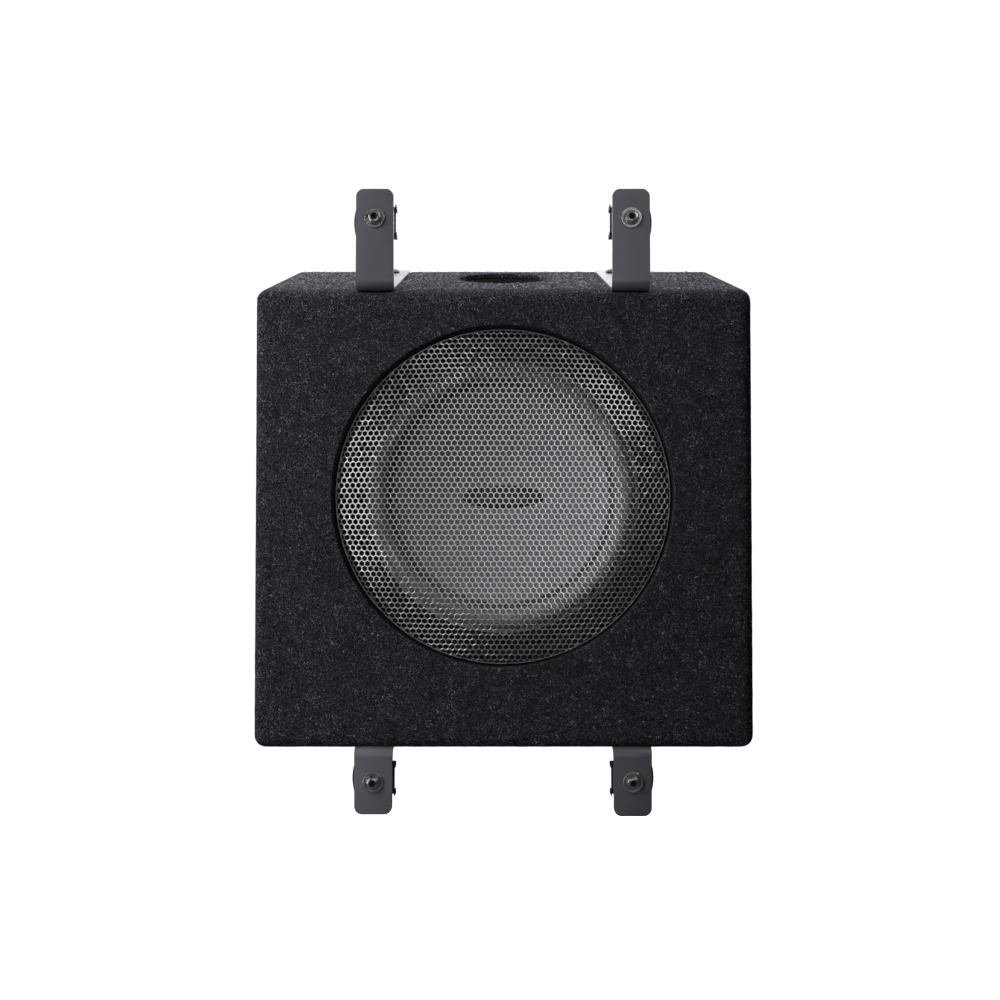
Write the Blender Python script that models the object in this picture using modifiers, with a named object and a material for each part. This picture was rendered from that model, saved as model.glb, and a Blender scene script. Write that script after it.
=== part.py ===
"""Powered car subwoofer: a carpeted, ported box with an eight-inch driver behind a dished
grille, an amplifier in its rear panel and four bracket straps with clamp plates.

Metres, +Z up. The driver's axis is the Y axis and the front faces -Y. The plane y = 0 is
where the straps' rear faces meet the vehicle's sheet metal. Left and right are the viewer's,
looking at the front. Turned shapes are drawn as (radius, y) and spun about the Y axis.
"""

import math

import bmesh
import bpy
from mathutils import Matrix, Vector
from mathutils.geometry import interpolate_bezier

# ---- driving dimensions -------------------------------------------------------------------
GAP = 0.0003  # between touching pieces
CUT_PAST = 0.002  # how far a cutter runs past a face

# Box, outside of the carpet. Its top rises towards the rear.
BOX_HALF_WIDTH = 0.1668
FRONT_Y = -0.003
REAR_Y = 0.127
BOTTOM_Z = -0.1690
TOP_FRONT_Z = 0.1383
TOP_SLOPE = math.radians(20.0)
CARPET = 0.003
CARPET_EDGE_RADIUS = 0.005
SKIN = CARPET + GAP
BAFFLE_THICKNESS = 0.022
BOARD_THICKNESS = 0.012
OPENING_RADIUS = 0.1150

# Port: a vertical tube under the sloping top
PORT_Y = 0.0725
PORT_RADIUS = 0.033
PORT_WALL = 0.0025
PORT_BOTTOM_Z = 0.100

# Driver
CUTOUT_RADIUS = 0.0935
FLANGE_RADIUS = 0.1025
FLANGE_THICKNESS = 0.003
GASKET_THICKNESS = 0.001
DRIVER_SCREW_CIRCLE = 0.0985
DRIVER_SCREW_COUNT = 8
CONE_RADIUS = 0.073
CONE_RIM_RADIUS = 0.077
CONE_DEPTH = 0.013
CONE_THICKNESS = 0.0012
ROLL_CENTRE_RADIUS = 0.084
ROLL_RADIUS = 0.0065
SURROUND_THICKNESS = 0.001
SURROUND_INNER_RADIUS = 0.074
SURROUND_OUTER_RADIUS = 0.0942
FORMER_RADIUS = 0.025
FORMER_WALL = 0.0005
COIL_THICKNESS = 0.0011
COIL_FRONT_Y = 0.057
COIL_REAR_Y = 0.073
LEDGE_Y = 0.050
SPIDER_RADIUS = 0.066
TOP_PLATE_Y = 0.062
TOP_PLATE_THICKNESS = 0.006
MAGNET_RADIUS = 0.060
MAGNET_THICKNESS = 0.016
PLATE_RADIUS = 0.055
BACK_PLATE_THICKNESS = 0.007
POLE_RADIUS = 0.0242
POLE_VENT_RADIUS = 0.008
MAGNET_BORE_RADIUS = 0.031
COIL_CLEARANCE = 0.0006
BASKET_THICKNESS = 0.0016
BASKET_HOLE_RADIUS = 0.0280
BASKET_SEAT_RADIUS = 0.0490
BASKET_LEDGE_RADII = (0.0560, 0.0680)
BASKET_BOWL = ((0.0800, 0.0440), (0.0870, 0.0350))
BASKET_NECK_RADIUS = 0.0905
BASKET_WINDOW_COUNT = 6
BASKET_WINDOW_SIZE = (0.030, 0.008, 0.054)
BASKET_WINDOW_PLACE = (0.085, 0.0425, 0.0)
SPIDER_THICKNESS = 0.0008
SPIDER_WAVE_RADII = (0.031, 0.054)
SPIDER_WAVE_HEIGHT = 0.0015
SPIDER_WAVES = 2
DRIVER_SCREW_HEAD = (0.0036, 0.0024)
DRIVER_SCREW_SHANK = (0.0019, 0.014)
DRIVER_PILOT_RADIUS = 0.0022
FLANGE_HOLE_RADIUS = 0.0024
TAG_BOARD_SIZE = (0.022, 0.0025, 0.008)
TAG_BOARD_Z = -0.0625
TAG_X = 0.006
TAG_SIZE = (0.004, 0.007, 0.001)
TAG_Z = -0.065
TAG_BASE = 0.002
BADGE_THICKNESS = 0.0007
BADGE_HEIGHT = 0.001
BADGE_HALF_WIDTH = 0.029
BADGE_HALF_HEIGHT = 0.008

# Grille
MESH_FRONT_Y = -0.007
MESH_FLAT_RADIUS = 0.080
MESH_RIM_RADIUS = 0.1133
MESH_RIM_Y = 0.0040
MESH_THICKNESS = 0.0012
RING_RADIUS = 0.1138
RING_WALL = 0.003
RING_FOOT_RADIUS = 0.104

# Bracket straps and their clamps
STRAP_X = 0.0865
STRAP_WIDTH = 0.0256
STRAP_THICKNESS = 0.003
STRAP_CORNER_RADIUS = 0.0045
STRAP_BEND_RADIUS = 0.004
STRAP_SINK = 0.0018  # how far a foot is pressed into the carpet
STRAP_TOP_Z = 0.2074
STRAP_BOTTOM_Z = -0.2135
STRAP_REACH_Y = 0.121
STRAP_SCREW_Y = 0.100
BOLT_Z = {1: 0.1875, -1: -0.1907}  # above and below the box
BOLT_RADIUS = 0.0029
BOLT_HOLE_RADIUS = 0.0033
BOLT_END_Y = 0.021
BOLT_HEAD_HEIGHT = 0.004
BOLT_DOME_RADIUS = 0.0051
BOLT_FLANGE_RADIUS = 0.0068
BOLT_SOCKET_RADIUS = 0.0023
BRACKET_SCREW_HEAD = (0.0062, 0.0028)
BRACKET_SCREW_SHANK = (0.0020, 0.016)
BRACKET_SCREW_HOLE_RADIUS = 0.0025
BRACKET_PILOT_RADIUS = 0.0023
CLAMP_GAP = 0.008
CLAMP_THICKNESS = 0.0025
CLAMP_HALF_HEIGHT = 0.0110
CLAMP_INNER_X = 0.0131
CLAMP_FINGER_X = 0.0141
CLAMP_OUTER_X = 0.0129
CLAMP_OUTER_BULGE = 0.002
FINGER_HEIGHT = 0.0035
FINGER_LENGTH = 0.005
NUT_RADIUS = 0.0056
NUT_THICKNESS = 0.005

# Amplifier, in a window low in the rear panel
AMP_CENTRE_Z = -0.090
AMP_HALF_WIDTH = 0.110
AMP_HALF_HEIGHT = 0.055
AMP_PLATE_THICKNESS = 0.003
AMP_SCREW_INSET = 0.006
AMP_SCREW_HEAD = (0.0036, 0.0022)
AMP_SCREW_SHANK = (0.0017, 0.013)
AMP_SCREW_HOLE_RADIUS = 0.0021
AMP_PILOT_RADIUS = 0.0020
WINDOW_HALF_WIDTH = 0.098
WINDOW_HALF_HEIGHT = 0.043
FIN_COUNT = 11
FIN_FIRST_X = -0.094
FIN_PITCH = 0.0104
FIN_THICKNESS = 0.0024
FIN_HEIGHT = 0.008
FIN_HALF_LENGTH = 0.048
BOARD_HALF_WIDTH = 0.094
BOARD_HALF_HEIGHT = 0.039
CIRCUIT_BOARD_THICKNESS = 0.0016
CIRCUIT_BOARD_Y = 0.114
OUTPUT_SOCKET_Y = 0.104
OUTPUT_SOCKET_Z = -0.084
KNOB_Z = -0.058
GAIN_KNOB_X = 0.084
CROSSOVER_KNOB_X = 0.056
KNOB_RADIUS = 0.0075
KNOB_HEIGHT = 0.009
SPINDLE_RADIUS = 0.003
LED_X = 0.030
LED_RADIUS = 0.0024
SWITCH_X = 0.084
SWITCH_Z = -0.086
SWITCH_TRAVEL = 0.004
SOCKETS_X = 0.044
SOCKETS_Z = -0.086
SOCKET_SPACING = 0.018
SOCKET_HOLE_RADIUS = 0.0050
SOCKET_RADIUS = 0.00415
SOCKET_BORE_RADIUS = 0.0017
SOCKET_HEIGHT = 0.009
SOCKET_BODY_HALF = (0.019, 0.0065)
TERMINAL_X = 0.078
TERMINAL_Z = -0.113
TERMINAL_SIZE = (0.038, 0.015, 0.014)
TERMINAL_HEIGHT = 0.006
TERMINAL_FLOOR = 0.002
WIRE_ENTRY_HALF = (0.0040, 0.0050)
WIRE_ENTRY_SPACING = 0.012
FUSE_X = 0.036
FUSE_Z = -0.113
FUSE_SIZE = (0.019, 0.012, 0.005)
FUSE_HEIGHT = 0.004

# ---- derived positions --------------------------------------------------------------------
WOOD_FRONT_Y = FRONT_Y + SKIN
WOOD_REAR_Y = REAR_Y - SKIN
WOOD_HALF_WIDTH = BOX_HALF_WIDTH - SKIN
INSIDE_FRONT_Y = WOOD_FRONT_Y + BAFFLE_THICKNESS + GAP
INSIDE_REAR_Y = WOOD_REAR_Y - BOARD_THICKNESS - GAP
INSIDE_HALF_WIDTH = WOOD_HALF_WIDTH - BOARD_THICKNESS - GAP
GASKET_FRONT_Y = INSIDE_FRONT_Y - GAP - GASKET_THICKNESS
FLANGE_FRONT_Y = GASKET_FRONT_Y - GAP - FLANGE_THICKNESS
CONE_RIM_Y = FLANGE_FRONT_Y
SURROUND_REAR_Y = FLANGE_FRONT_Y - GAP
AMP_PLATE_FRONT_Y = WOOD_REAR_Y + GAP
AMP_PLATE_REAR_Y = AMP_PLATE_FRONT_Y + AMP_PLATE_THICKNESS
AMP_FACE_Y = AMP_PLATE_REAR_Y + GAP
CORNERS = {
    "top_left": (-1, 1),
    "top_right": (1, 1),
    "bottom_left": (-1, -1),
    "bottom_right": (1, -1),
}

# colour, roughness, metallic
FINISHES = {
    "carpet": ((0.020, 0.020, 0.023), 0.95, 0.0),
    "board": ((0.36, 0.25, 0.15), 0.80, 0.0),
    "black_board": ((0.012, 0.012, 0.012), 0.80, 0.0),
    "black_steel": ((0.030, 0.030, 0.033), 0.45, 0.2),
    "strap_steel": ((0.075, 0.073, 0.082), 0.45, 0.3),
    "bolt_steel": ((0.30, 0.30, 0.31), 0.28, 1.0),
    "grille_steel": ((0.16, 0.16, 0.165), 0.35, 0.8),
    "cone": ((0.12, 0.12, 0.122), 0.45, 0.2),
    "rubber": ((0.030, 0.030, 0.030), 0.60, 0.0),
    "foam": ((0.020, 0.020, 0.020), 0.95, 0.0),
    "cloth": ((0.55, 0.40, 0.16), 0.90, 0.0),
    "copper": ((0.60, 0.25, 0.12), 0.35, 1.0),
    "zinc": ((0.55, 0.55, 0.56), 0.35, 1.0),
    "ferrite": ((0.045, 0.043, 0.042), 0.70, 0.0),
    "black_plastic": ((0.015, 0.015, 0.016), 0.45, 0.0),
    "aluminium": ((0.040, 0.040, 0.042), 0.40, 0.6),
    "circuit": ((0.03, 0.16, 0.06), 0.50, 0.0),
    "lamp": ((0.10, 0.25, 0.80), 0.20, 0.0),
    "orange_plastic": ((0.75, 0.18, 0.03), 0.30, 0.0),
}


# ---- modelling tools ----------------------------------------------------------------------
def clear_scene():
    """Start from an empty scene with one collection for the parts and one for the cutters."""
    for obj in list(bpy.data.objects):
        bpy.data.objects.remove(obj)
    collections = []
    for name in ("car_subwoofer", "cutters"):
        collection = bpy.data.collections.new(name)
        bpy.context.scene.collection.children.link(collection)
        collections.append(collection)
    return collections


PARTS, CUTTERS = clear_scene()


def part(obj, finish):
    """Keep an object as a piece of the subwoofer, with a material of its own."""
    color, roughness, metallic = FINISHES[finish]
    surface = bpy.data.materials.new(obj.name)
    surface.use_nodes = True
    shader = surface.node_tree.nodes["Principled BSDF"]
    shader.inputs["Base Color"].default_value = (*color, 1.0)
    shader.inputs["Roughness"].default_value = roughness
    shader.inputs["Metallic"].default_value = metallic
    obj.data.materials.append(surface)
    PARTS.objects.link(obj)
    return obj


def cutter(obj):
    """Keep an object only as the tool of a Boolean."""
    obj.hide_render = True
    obj.display_type = "WIRE"
    CUTTERS.objects.link(obj)
    return obj


def boolean(obj, tool, operation="DIFFERENCE"):
    modifier = obj.modifiers.new(tool.name, "BOOLEAN")
    modifier.operation = operation
    modifier.object = tool
    return obj


def round_edges(obj, radius, segments=2):
    modifier = obj.modifiers.new("round edges", "BEVEL")
    modifier.width = radius
    modifier.segments = segments
    modifier.limit_method = "ANGLE"
    return obj


def object_from(name, shape, location=(0.0, 0.0, 0.0), rotation=(0.0, 0.0, 0.0)):
    """Turn a bmesh into an object, smooth where its faces meet at a small angle."""
    mesh = bpy.data.meshes.new(name)
    shape.to_mesh(mesh)
    shape.free()
    mesh.shade_smooth()
    mesh.set_sharp_from_angle(angle=math.radians(35.0))
    obj = bpy.data.objects.new(name, mesh)
    obj.location = location
    obj.rotation_euler = rotation
    return obj


def block(name, low, high):
    """A box between two corners, with its origin in the middle."""
    low = Vector(low)
    high = Vector(high)
    shape = bmesh.new()
    bmesh.ops.create_cube(shape, size=1.0)
    bmesh.ops.scale(shape, vec=high - low, verts=shape.verts)
    return object_from(name, shape, location=(low + high) / 2)


def rod(name, radius, start, end, segments=24):
    """A cylinder from one point to another."""
    start = Vector(start)
    axis = Vector(end) - start
    shape = bmesh.new()
    bmesh.ops.create_cone(
        shape, cap_ends=True, segments=segments, radius1=radius, radius2=radius, depth=axis.length
    )
    rotation = Vector((0.0, 0.0, 1.0)).rotation_difference(axis).to_euler()
    return object_from(name, shape, location=start + axis / 2, rotation=rotation)


def rods_joined(name, radius, spans, segments=8):
    """Several parallel cylinders in one object, used only as a cutter."""
    shape = bmesh.new()
    for start, end in spans:
        start = Vector(start)
        axis = Vector(end) - start
        turn = Vector((0.0, 0.0, 1.0)).rotation_difference(axis).to_matrix().to_4x4()
        bmesh.ops.create_cone(
            shape,
            cap_ends=True,
            segments=segments,
            radius1=radius,
            radius2=radius,
            depth=axis.length,
            matrix=Matrix.Translation(start + axis / 2) @ turn,
        )
    return object_from(name, shape)


def spun(obj, segments):
    """Turn an open or closed line into a solid, all the way round its own Z axis."""
    spin = obj.modifiers.new("spin", "SCREW")
    spin.steps = segments
    spin.render_steps = segments
    spin.use_merge_vertices = True
    spin.merge_threshold = 0.00005
    return obj


def turned(name, profile, segments=40, closed=False, centre=(0.0, 0.0), origin_y=0.0):
    """Spin a (radius, y) profile about a line along Y through centre, an (x, z) point.

    The profile runs from the front to the rear on its outer side. A closed one is a ring.
    """
    shape = bmesh.new()
    points = [shape.verts.new((radius, 0.0, origin_y - y)) for radius, y in profile]
    for start, end in zip(points, points[1:]):
        shape.edges.new((start, end))
    if closed:
        shape.edges.new((points[-1], points[0]))
    location = (centre[0], origin_y, centre[1])
    return spun(object_from(name, shape, location, rotation=(math.pi / 2, 0.0, 0.0)), segments)


def ring(name, inner, outer, front_y, rear_y, segments=40):
    section = [(inner, front_y), (outer, front_y), (outer, rear_y), (inner, rear_y)]
    return turned(name, section, segments, closed=True)


def outline_shape(points, thickness):
    """A flat outline in its XY plane, filled and as thick along Z, as one closed bmesh."""
    curve = bpy.data.curves.new("outline", "CURVE")
    curve.dimensions = "2D"
    curve.fill_mode = "BOTH"
    curve.extrude = thickness / 2
    spline = curve.splines.new("POLY")
    spline.points.add(len(points) - 1)
    for corner, (x, y) in zip(spline.points, points):
        corner.co = (x, y, 0.0, 1.0)
    spline.use_cyclic_u = True
    guide = bpy.data.objects.new("outline", curve)
    CUTTERS.objects.link(guide)
    graph = bpy.context.evaluated_depsgraph_get()
    filled = bpy.data.meshes.new_from_object(guide.evaluated_get(graph))
    bpy.data.objects.remove(guide)
    shape = bmesh.new()
    shape.from_mesh(filled)
    bpy.data.meshes.remove(filled)
    bmesh.ops.remove_doubles(shape, verts=shape.verts, dist=0.000001)
    flat = math.radians(0.1)
    bmesh.ops.dissolve_limit(shape, angle_limit=flat, verts=shape.verts, edges=shape.edges)
    bmesh.ops.recalc_face_normals(shape, faces=shape.faces)
    return shape


def side_prism(name, points, x_low, x_high):
    """A (y, z) outline, as wide as from x_low to x_high."""
    shape = outline_shape(points, x_high - x_low)
    location = ((x_low + x_high) / 2, 0.0, 0.0)
    return object_from(name, shape, location, rotation=(math.pi / 2, 0.0, math.pi / 2))


def front_prism(name, points, y_low, y_high):
    """An (x, z) outline, as deep as from y_low to y_high."""
    shape = outline_shape(points, y_high - y_low)
    location = (0.0, (y_low + y_high) / 2, 0.0)
    return object_from(name, shape, location, rotation=(math.pi / 2, 0.0, 0.0))


def thick_line(points, thickness):
    """The closed section of a sheet whose front follows a (radius, y) line, outwards first."""
    rear = []
    for index, (radius, y) in enumerate(points):
        before = Vector(points[max(index - 1, 0)])
        after = Vector(points[min(index + 1, len(points) - 1)])
        along = (after - before).normalized()
        rear.append((radius - along.y * thickness, y + along.x * thickness))
    return list(points) + rear[::-1]


def arc(centre, radius, start_deg, end_deg, steps):
    """Points along an arc, both ends included."""
    points = []
    for index in range(steps + 1):
        angle = math.radians(start_deg + (end_deg - start_deg) * index / steps)
        points.append((centre[0] + radius * math.cos(angle), centre[1] + radius * math.sin(angle)))
    return points


# ---- enclosure ----------------------------------------------------------------------------
def top_z(y, depth=0.0):
    """Height of the sloping top at y, on a plane that lies depth under it."""
    return TOP_FRONT_Z + (y - FRONT_Y) * math.tan(TOP_SLOPE) - depth / math.cos(TOP_SLOPE)


def side_outline(front_y, rear_y, bottom_z, top_depth):
    """Side view of a panel between two depths, under the sloping top."""
    return [
        (front_y, bottom_z),
        (rear_y, bottom_z),
        (rear_y, top_z(rear_y, top_depth)),
        (front_y, top_z(front_y, top_depth)),
    ]


def slope_band(front_y, rear_y, low_depth, high_depth):
    """Side view of a layer under the sloping top, between two depths."""
    return [
        (front_y, top_z(front_y, low_depth)),
        (rear_y, top_z(rear_y, low_depth)),
        (rear_y, top_z(rear_y, high_depth)),
        (front_y, top_z(front_y, high_depth)),
    ]


def inset_outline(inset):
    return side_outline(FRONT_Y + inset, REAR_Y - inset, BOTTOM_Z + inset, inset)


def screw_directions():
    """Where each bracket's wood screw enters, on the carpet, and its way out of the wood."""
    places = {}
    for corner, (side, level) in CORNERS.items():
        if level > 0:
            surface_z = top_z(STRAP_SCREW_Y)
            outward = Vector((0.0, -math.sin(TOP_SLOPE), math.cos(TOP_SLOPE)))
        else:
            surface_z = BOTTOM_Z
            outward = Vector((0.0, 0.0, -1.0))
        places[corner] = (Vector((side * STRAP_X, STRAP_SCREW_Y, surface_z)), outward)
    return places


def make_enclosure():
    wood = BOTTOM_Z + SKIN
    floor = wood + BOARD_THICKNESS + GAP
    under_top = SKIN + BOARD_THICKNESS + GAP
    mount_rear_y = INSIDE_FRONT_Y + BOARD_THICKNESS

    opening = cutter(
        rod("front_opening", OPENING_RADIUS, (0, FRONT_Y - CUT_PAST, 0), (0, INSIDE_FRONT_Y, 0), 56)
    )
    driver_hole = cutter(
        rod(
            "driver_hole",
            CUTOUT_RADIUS,
            (0, INSIDE_FRONT_Y - CUT_PAST, 0),
            (0, mount_rear_y + CUT_PAST, 0),
            40,
        )
    )
    port_top = (0, PORT_Y, REAR_Y + TOP_FRONT_Z)
    port_floor = (0, PORT_Y, TOP_FRONT_Z - 2 * BOARD_THICKNESS)
    tube_hole = cutter(rod("tube_hole", PORT_RADIUS + PORT_WALL + GAP, port_floor, port_top, 32))
    port_hole = cutter(rod("port_hole", PORT_RADIUS, port_floor, port_top, 32))
    pilot_spans = [
        (place - outward * 2 * BOARD_THICKNESS, place + outward * BOARD_THICKNESS)
        for place, outward in screw_directions().values()
    ]
    pilots = cutter(rods_joined("bracket_pilots", BRACKET_PILOT_RADIUS, pilot_spans))
    amp_spans = [
        ((x, INSIDE_REAR_Y, z), (x, REAR_Y, z)) for x, z in amp_screw_places()
    ]
    amp_pilots = cutter(rods_joined("amplifier_pilots", AMP_PILOT_RADIUS, amp_spans))
    driver_spans = [
        ((x, INSIDE_FRONT_Y - CUT_PAST, z), (x, mount_rear_y - CUT_PAST, z))
        for x, z in driver_screw_places()
    ]
    driver_pilots = cutter(rods_joined("driver_pilots", DRIVER_PILOT_RADIUS, driver_spans))

    baffle = side_outline(WOOD_FRONT_Y, WOOD_FRONT_Y + BAFFLE_THICKNESS, wood, SKIN)
    baffle = side_prism("baffle_board", baffle, -WOOD_HALF_WIDTH, WOOD_HALF_WIDTH)
    boolean(part(baffle, "black_board"), opening)

    mount = side_outline(INSIDE_FRONT_Y, mount_rear_y, floor, under_top)
    mount = side_prism("driver_mount_board", mount, -INSIDE_HALF_WIDTH, INSIDE_HALF_WIDTH)
    boolean(boolean(part(mount, "black_board"), driver_hole), driver_pilots)

    top = slope_band(INSIDE_FRONT_Y, INSIDE_REAR_Y, SKIN + BOARD_THICKNESS, SKIN)
    top = side_prism("top_panel", top, -INSIDE_HALF_WIDTH, INSIDE_HALF_WIDTH)
    boolean(boolean(part(top, "board"), tube_hole), pilots)

    bottom = block(
        "bottom_panel",
        (-INSIDE_HALF_WIDTH, INSIDE_FRONT_Y, wood),
        (INSIDE_HALF_WIDTH, INSIDE_REAR_Y, wood + BOARD_THICKNESS),
    )
    boolean(part(bottom, "board"), pilots)

    side = side_outline(INSIDE_FRONT_Y, INSIDE_REAR_Y, wood, SKIN)
    inner_x = WOOD_HALF_WIDTH - BOARD_THICKNESS
    part(side_prism("left_panel", side, -WOOD_HALF_WIDTH, -inner_x), "board")
    part(side_prism("right_panel", side, inner_x, WOOD_HALF_WIDTH), "board")

    rear = side_outline(WOOD_REAR_Y - BOARD_THICKNESS, WOOD_REAR_Y, wood, SKIN)
    rear = part(side_prism("rear_panel", rear, -WOOD_HALF_WIDTH, WOOD_HALF_WIDTH), "board")
    window = block(
        "amplifier_window",
        (-WINDOW_HALF_WIDTH, INSIDE_REAR_Y - CUT_PAST, AMP_CENTRE_Z - WINDOW_HALF_HEIGHT),
        (WINDOW_HALF_WIDTH, REAR_Y, AMP_CENTRE_Z + WINDOW_HALF_HEIGHT),
    )
    boolean(boolean(rear, cutter(window)), amp_pilots)

    make_carpet(opening, port_hole, pilots)
    make_port_tube()


def make_carpet(opening, port_hole, pilots):
    """One felt skin round all six sides, with its openings trimmed to the boards' own."""
    half = BOX_HALF_WIDTH
    carpet = part(side_prism("carpet_wrap", inset_outline(0.0), -half, half), "carpet")
    round_edges(carpet, CARPET_EDGE_RADIUS, segments=2)
    inside = side_prism("carpet_inside", inset_outline(CARPET), CARPET - half, half - CARPET)
    plate_recess = block(
        "plate_recess",
        (-AMP_HALF_WIDTH - GAP, WOOD_REAR_Y - CUT_PAST, AMP_CENTRE_Z - AMP_HALF_HEIGHT - GAP),
        (AMP_HALF_WIDTH + GAP, REAR_Y + CUT_PAST, AMP_CENTRE_Z + AMP_HALF_HEIGHT + GAP),
    )
    for tool in (cutter(inside), opening, port_hole, pilots, cutter(plate_recess)):
        boolean(carpet, tool)
    for corner, (side, level) in CORNERS.items():
        boolean(carpet, cutter(strap_bed(corner, side, level)))


def strap_bed(corner, side, level):
    """The room that a strap's foot takes up where it is pressed into the carpet."""
    front_y = FRONT_Y - CUT_PAST
    rear_y = STRAP_REACH_Y + STRAP_THICKNESS / 2
    sink = STRAP_SINK + GAP
    if level > 0:
        outline = slope_band(front_y, rear_y, sink, -SKIN)
    else:
        outline = [
            (front_y, BOTTOM_Z - SKIN),
            (rear_y, BOTTOM_Z - SKIN),
            (rear_y, BOTTOM_Z + sink),
            (front_y, BOTTOM_Z + sink),
        ]
    half = STRAP_WIDTH / 2 + GAP
    middle = side * STRAP_X
    return side_prism(f"strap_bed_{corner}", outline, middle - half, middle + half)


def make_port_tube():
    """A plastic tube, cut along the slope where it ends in the top panel."""
    outer = PORT_RADIUS + PORT_WALL
    high = (0, PORT_Y, REAR_Y + TOP_FRONT_Z)
    low = (0, PORT_Y, PORT_BOTTOM_Z)
    tube = part(rod("port_tube", outer, low, high, 32), "black_plastic")
    below = (0, PORT_Y, PORT_BOTTOM_Z - CUT_PAST)
    above = (0, PORT_Y, REAR_Y + TOP_FRONT_Z + CUT_PAST)
    boolean(tube, cutter(rod("tube_bore", PORT_RADIUS, below, above, 32)))
    front_y = PORT_Y - 2 * outer
    rear_y = PORT_Y + 2 * outer
    over_slope = [
        (front_y, top_z(front_y, SKIN)),
        (rear_y, top_z(rear_y, SKIN)),
        (rear_y, REAR_Y + 2 * TOP_FRONT_Z),
        (front_y, REAR_Y + 2 * TOP_FRONT_Z),
    ]
    boolean(tube, cutter(side_prism("over_slope", over_slope, -2 * outer, 2 * outer)))


# ---- driver -------------------------------------------------------------------------------
def driver_screw_places():
    """The screws' (x, z) places: one every 45 degrees, the first at the right."""
    return arc((0.0, 0.0), DRIVER_SCREW_CIRCLE, 0.0, 315.0, DRIVER_SCREW_COUNT - 1)


def cone_y(radius):
    """Front surface of the dished cone: a shallow bowl that is deepest in the middle."""
    return CONE_RIM_Y + CONE_DEPTH * (1.0 - (radius / CONE_RADIUS) ** 2)


def dish_section(reach, offset, thickness, steps):
    """Section of a dish that follows the cone, from the axis out to reach and back."""
    radii = [reach * index / steps for index in range(steps + 1)]
    front = [(radius, cone_y(radius) + offset) for radius in radii]
    rear = [(radius, cone_y(radius) + offset + thickness) for radius in reversed(radii)]
    return front, rear


def make_cone():
    front, rear = dish_section(CONE_RADIUS, 0.0, CONE_THICKNESS, 5)
    rim_rear_y = CONE_RIM_Y + CONE_THICKNESS
    rim = [(CONE_RIM_RADIUS, CONE_RIM_Y), (CONE_RIM_RADIUS, rim_rear_y)]
    part(turned("cone", front + rim + rear, 32, origin_y=CONE_RIM_Y), "cone")

    front, rear = dish_section(1.1 * BADGE_HALF_WIDTH, -BADGE_HEIGHT, BADGE_THICKNESS, 3)
    badge = part(turned("cone_badge", front + rear, 24, origin_y=CONE_RIM_Y), "black_plastic")
    steps = 24
    oval = []
    for index in range(steps):
        angle = 2.0 * math.pi * index / steps
        oval.append((BADGE_HALF_WIDTH * math.cos(angle), BADGE_HALF_HEIGHT * math.sin(angle)))
    oval = front_prism("badge_oval", oval, 0.0, LEDGE_Y)
    boolean(badge, cutter(oval), "INTERSECT")


def make_surround():
    """A half roll between two flat lands, glued to the cone's rim and the basket's flange."""
    half = SURROUND_THICKNESS / 2
    middle = (ROLL_CENTRE_RADIUS, SURROUND_REAR_Y - half)
    front_roll = arc(middle, ROLL_RADIUS + half, 184.0, 356.0, 7)
    rear_roll = arc(middle, ROLL_RADIUS - half, 355.0, 185.0, 6)
    front_y = SURROUND_REAR_Y - SURROUND_THICKNESS
    section = [(SURROUND_INNER_RADIUS, front_y)]
    section += front_roll
    section += [(SURROUND_OUTER_RADIUS, front_y), (SURROUND_OUTER_RADIUS, SURROUND_REAR_Y)]
    section += rear_roll
    section += [(SURROUND_INNER_RADIUS, SURROUND_REAR_Y)]
    part(turned("surround", section, 32, closed=True), "rubber")


def make_basket():
    """Pressed steel: a flat flange, a bowl with six windows, the spider's ledge and a seat."""
    seat_y = TOP_PLATE_Y - GAP - BASKET_THICKNESS
    line = [(BASKET_HOLE_RADIUS, seat_y), (BASKET_SEAT_RADIUS, seat_y)]
    line += [(radius, LEDGE_Y) for radius in BASKET_LEDGE_RADII]
    line += BASKET_BOWL
    line.append((BASKET_NECK_RADIUS, FLANGE_FRONT_Y + 0.0020))
    bowl = thick_line(line, BASKET_THICKNESS)
    flange_rear_y = FLANGE_FRONT_Y + FLANGE_THICKNESS
    front = bowl[: len(line)]
    rear = bowl[len(line):]
    flange = [
        (0.0912, FLANGE_FRONT_Y),
        (FLANGE_RADIUS, FLANGE_FRONT_Y),
        (FLANGE_RADIUS, flange_rear_y),
        (0.0925, flange_rear_y),
    ]
    section = front + flange + rear[1:]
    basket = part(turned("driver_basket", section, 36, closed=True), "black_steel")

    windows = bmesh.new()
    middle = Matrix.Translation(BASKET_WINDOW_PLACE)
    size = Matrix.Diagonal((*BASKET_WINDOW_SIZE, 1.0))
    for index in range(BASKET_WINDOW_COUNT):
        turn = Matrix.Rotation(2.0 * math.pi * index / BASKET_WINDOW_COUNT, 4, "Y")
        bmesh.ops.create_cube(windows, size=1.0, matrix=turn @ middle @ size)
    boolean(basket, cutter(object_from("basket_windows", windows)))

    spans = [((x, FRONT_Y, z), (x, INSIDE_FRONT_Y, z)) for x, z in driver_screw_places()]
    holes = cutter(rods_joined("flange_holes", FLANGE_HOLE_RADIUS, spans))
    boolean(basket, holes)

    rear_y = GASKET_FRONT_Y + GASKET_THICKNESS
    gasket = ring("driver_gasket", CUTOUT_RADIUS, FLANGE_RADIUS - 0.0005, GASKET_FRONT_Y, rear_y)
    boolean(part(gasket, "foam"), holes)


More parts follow.
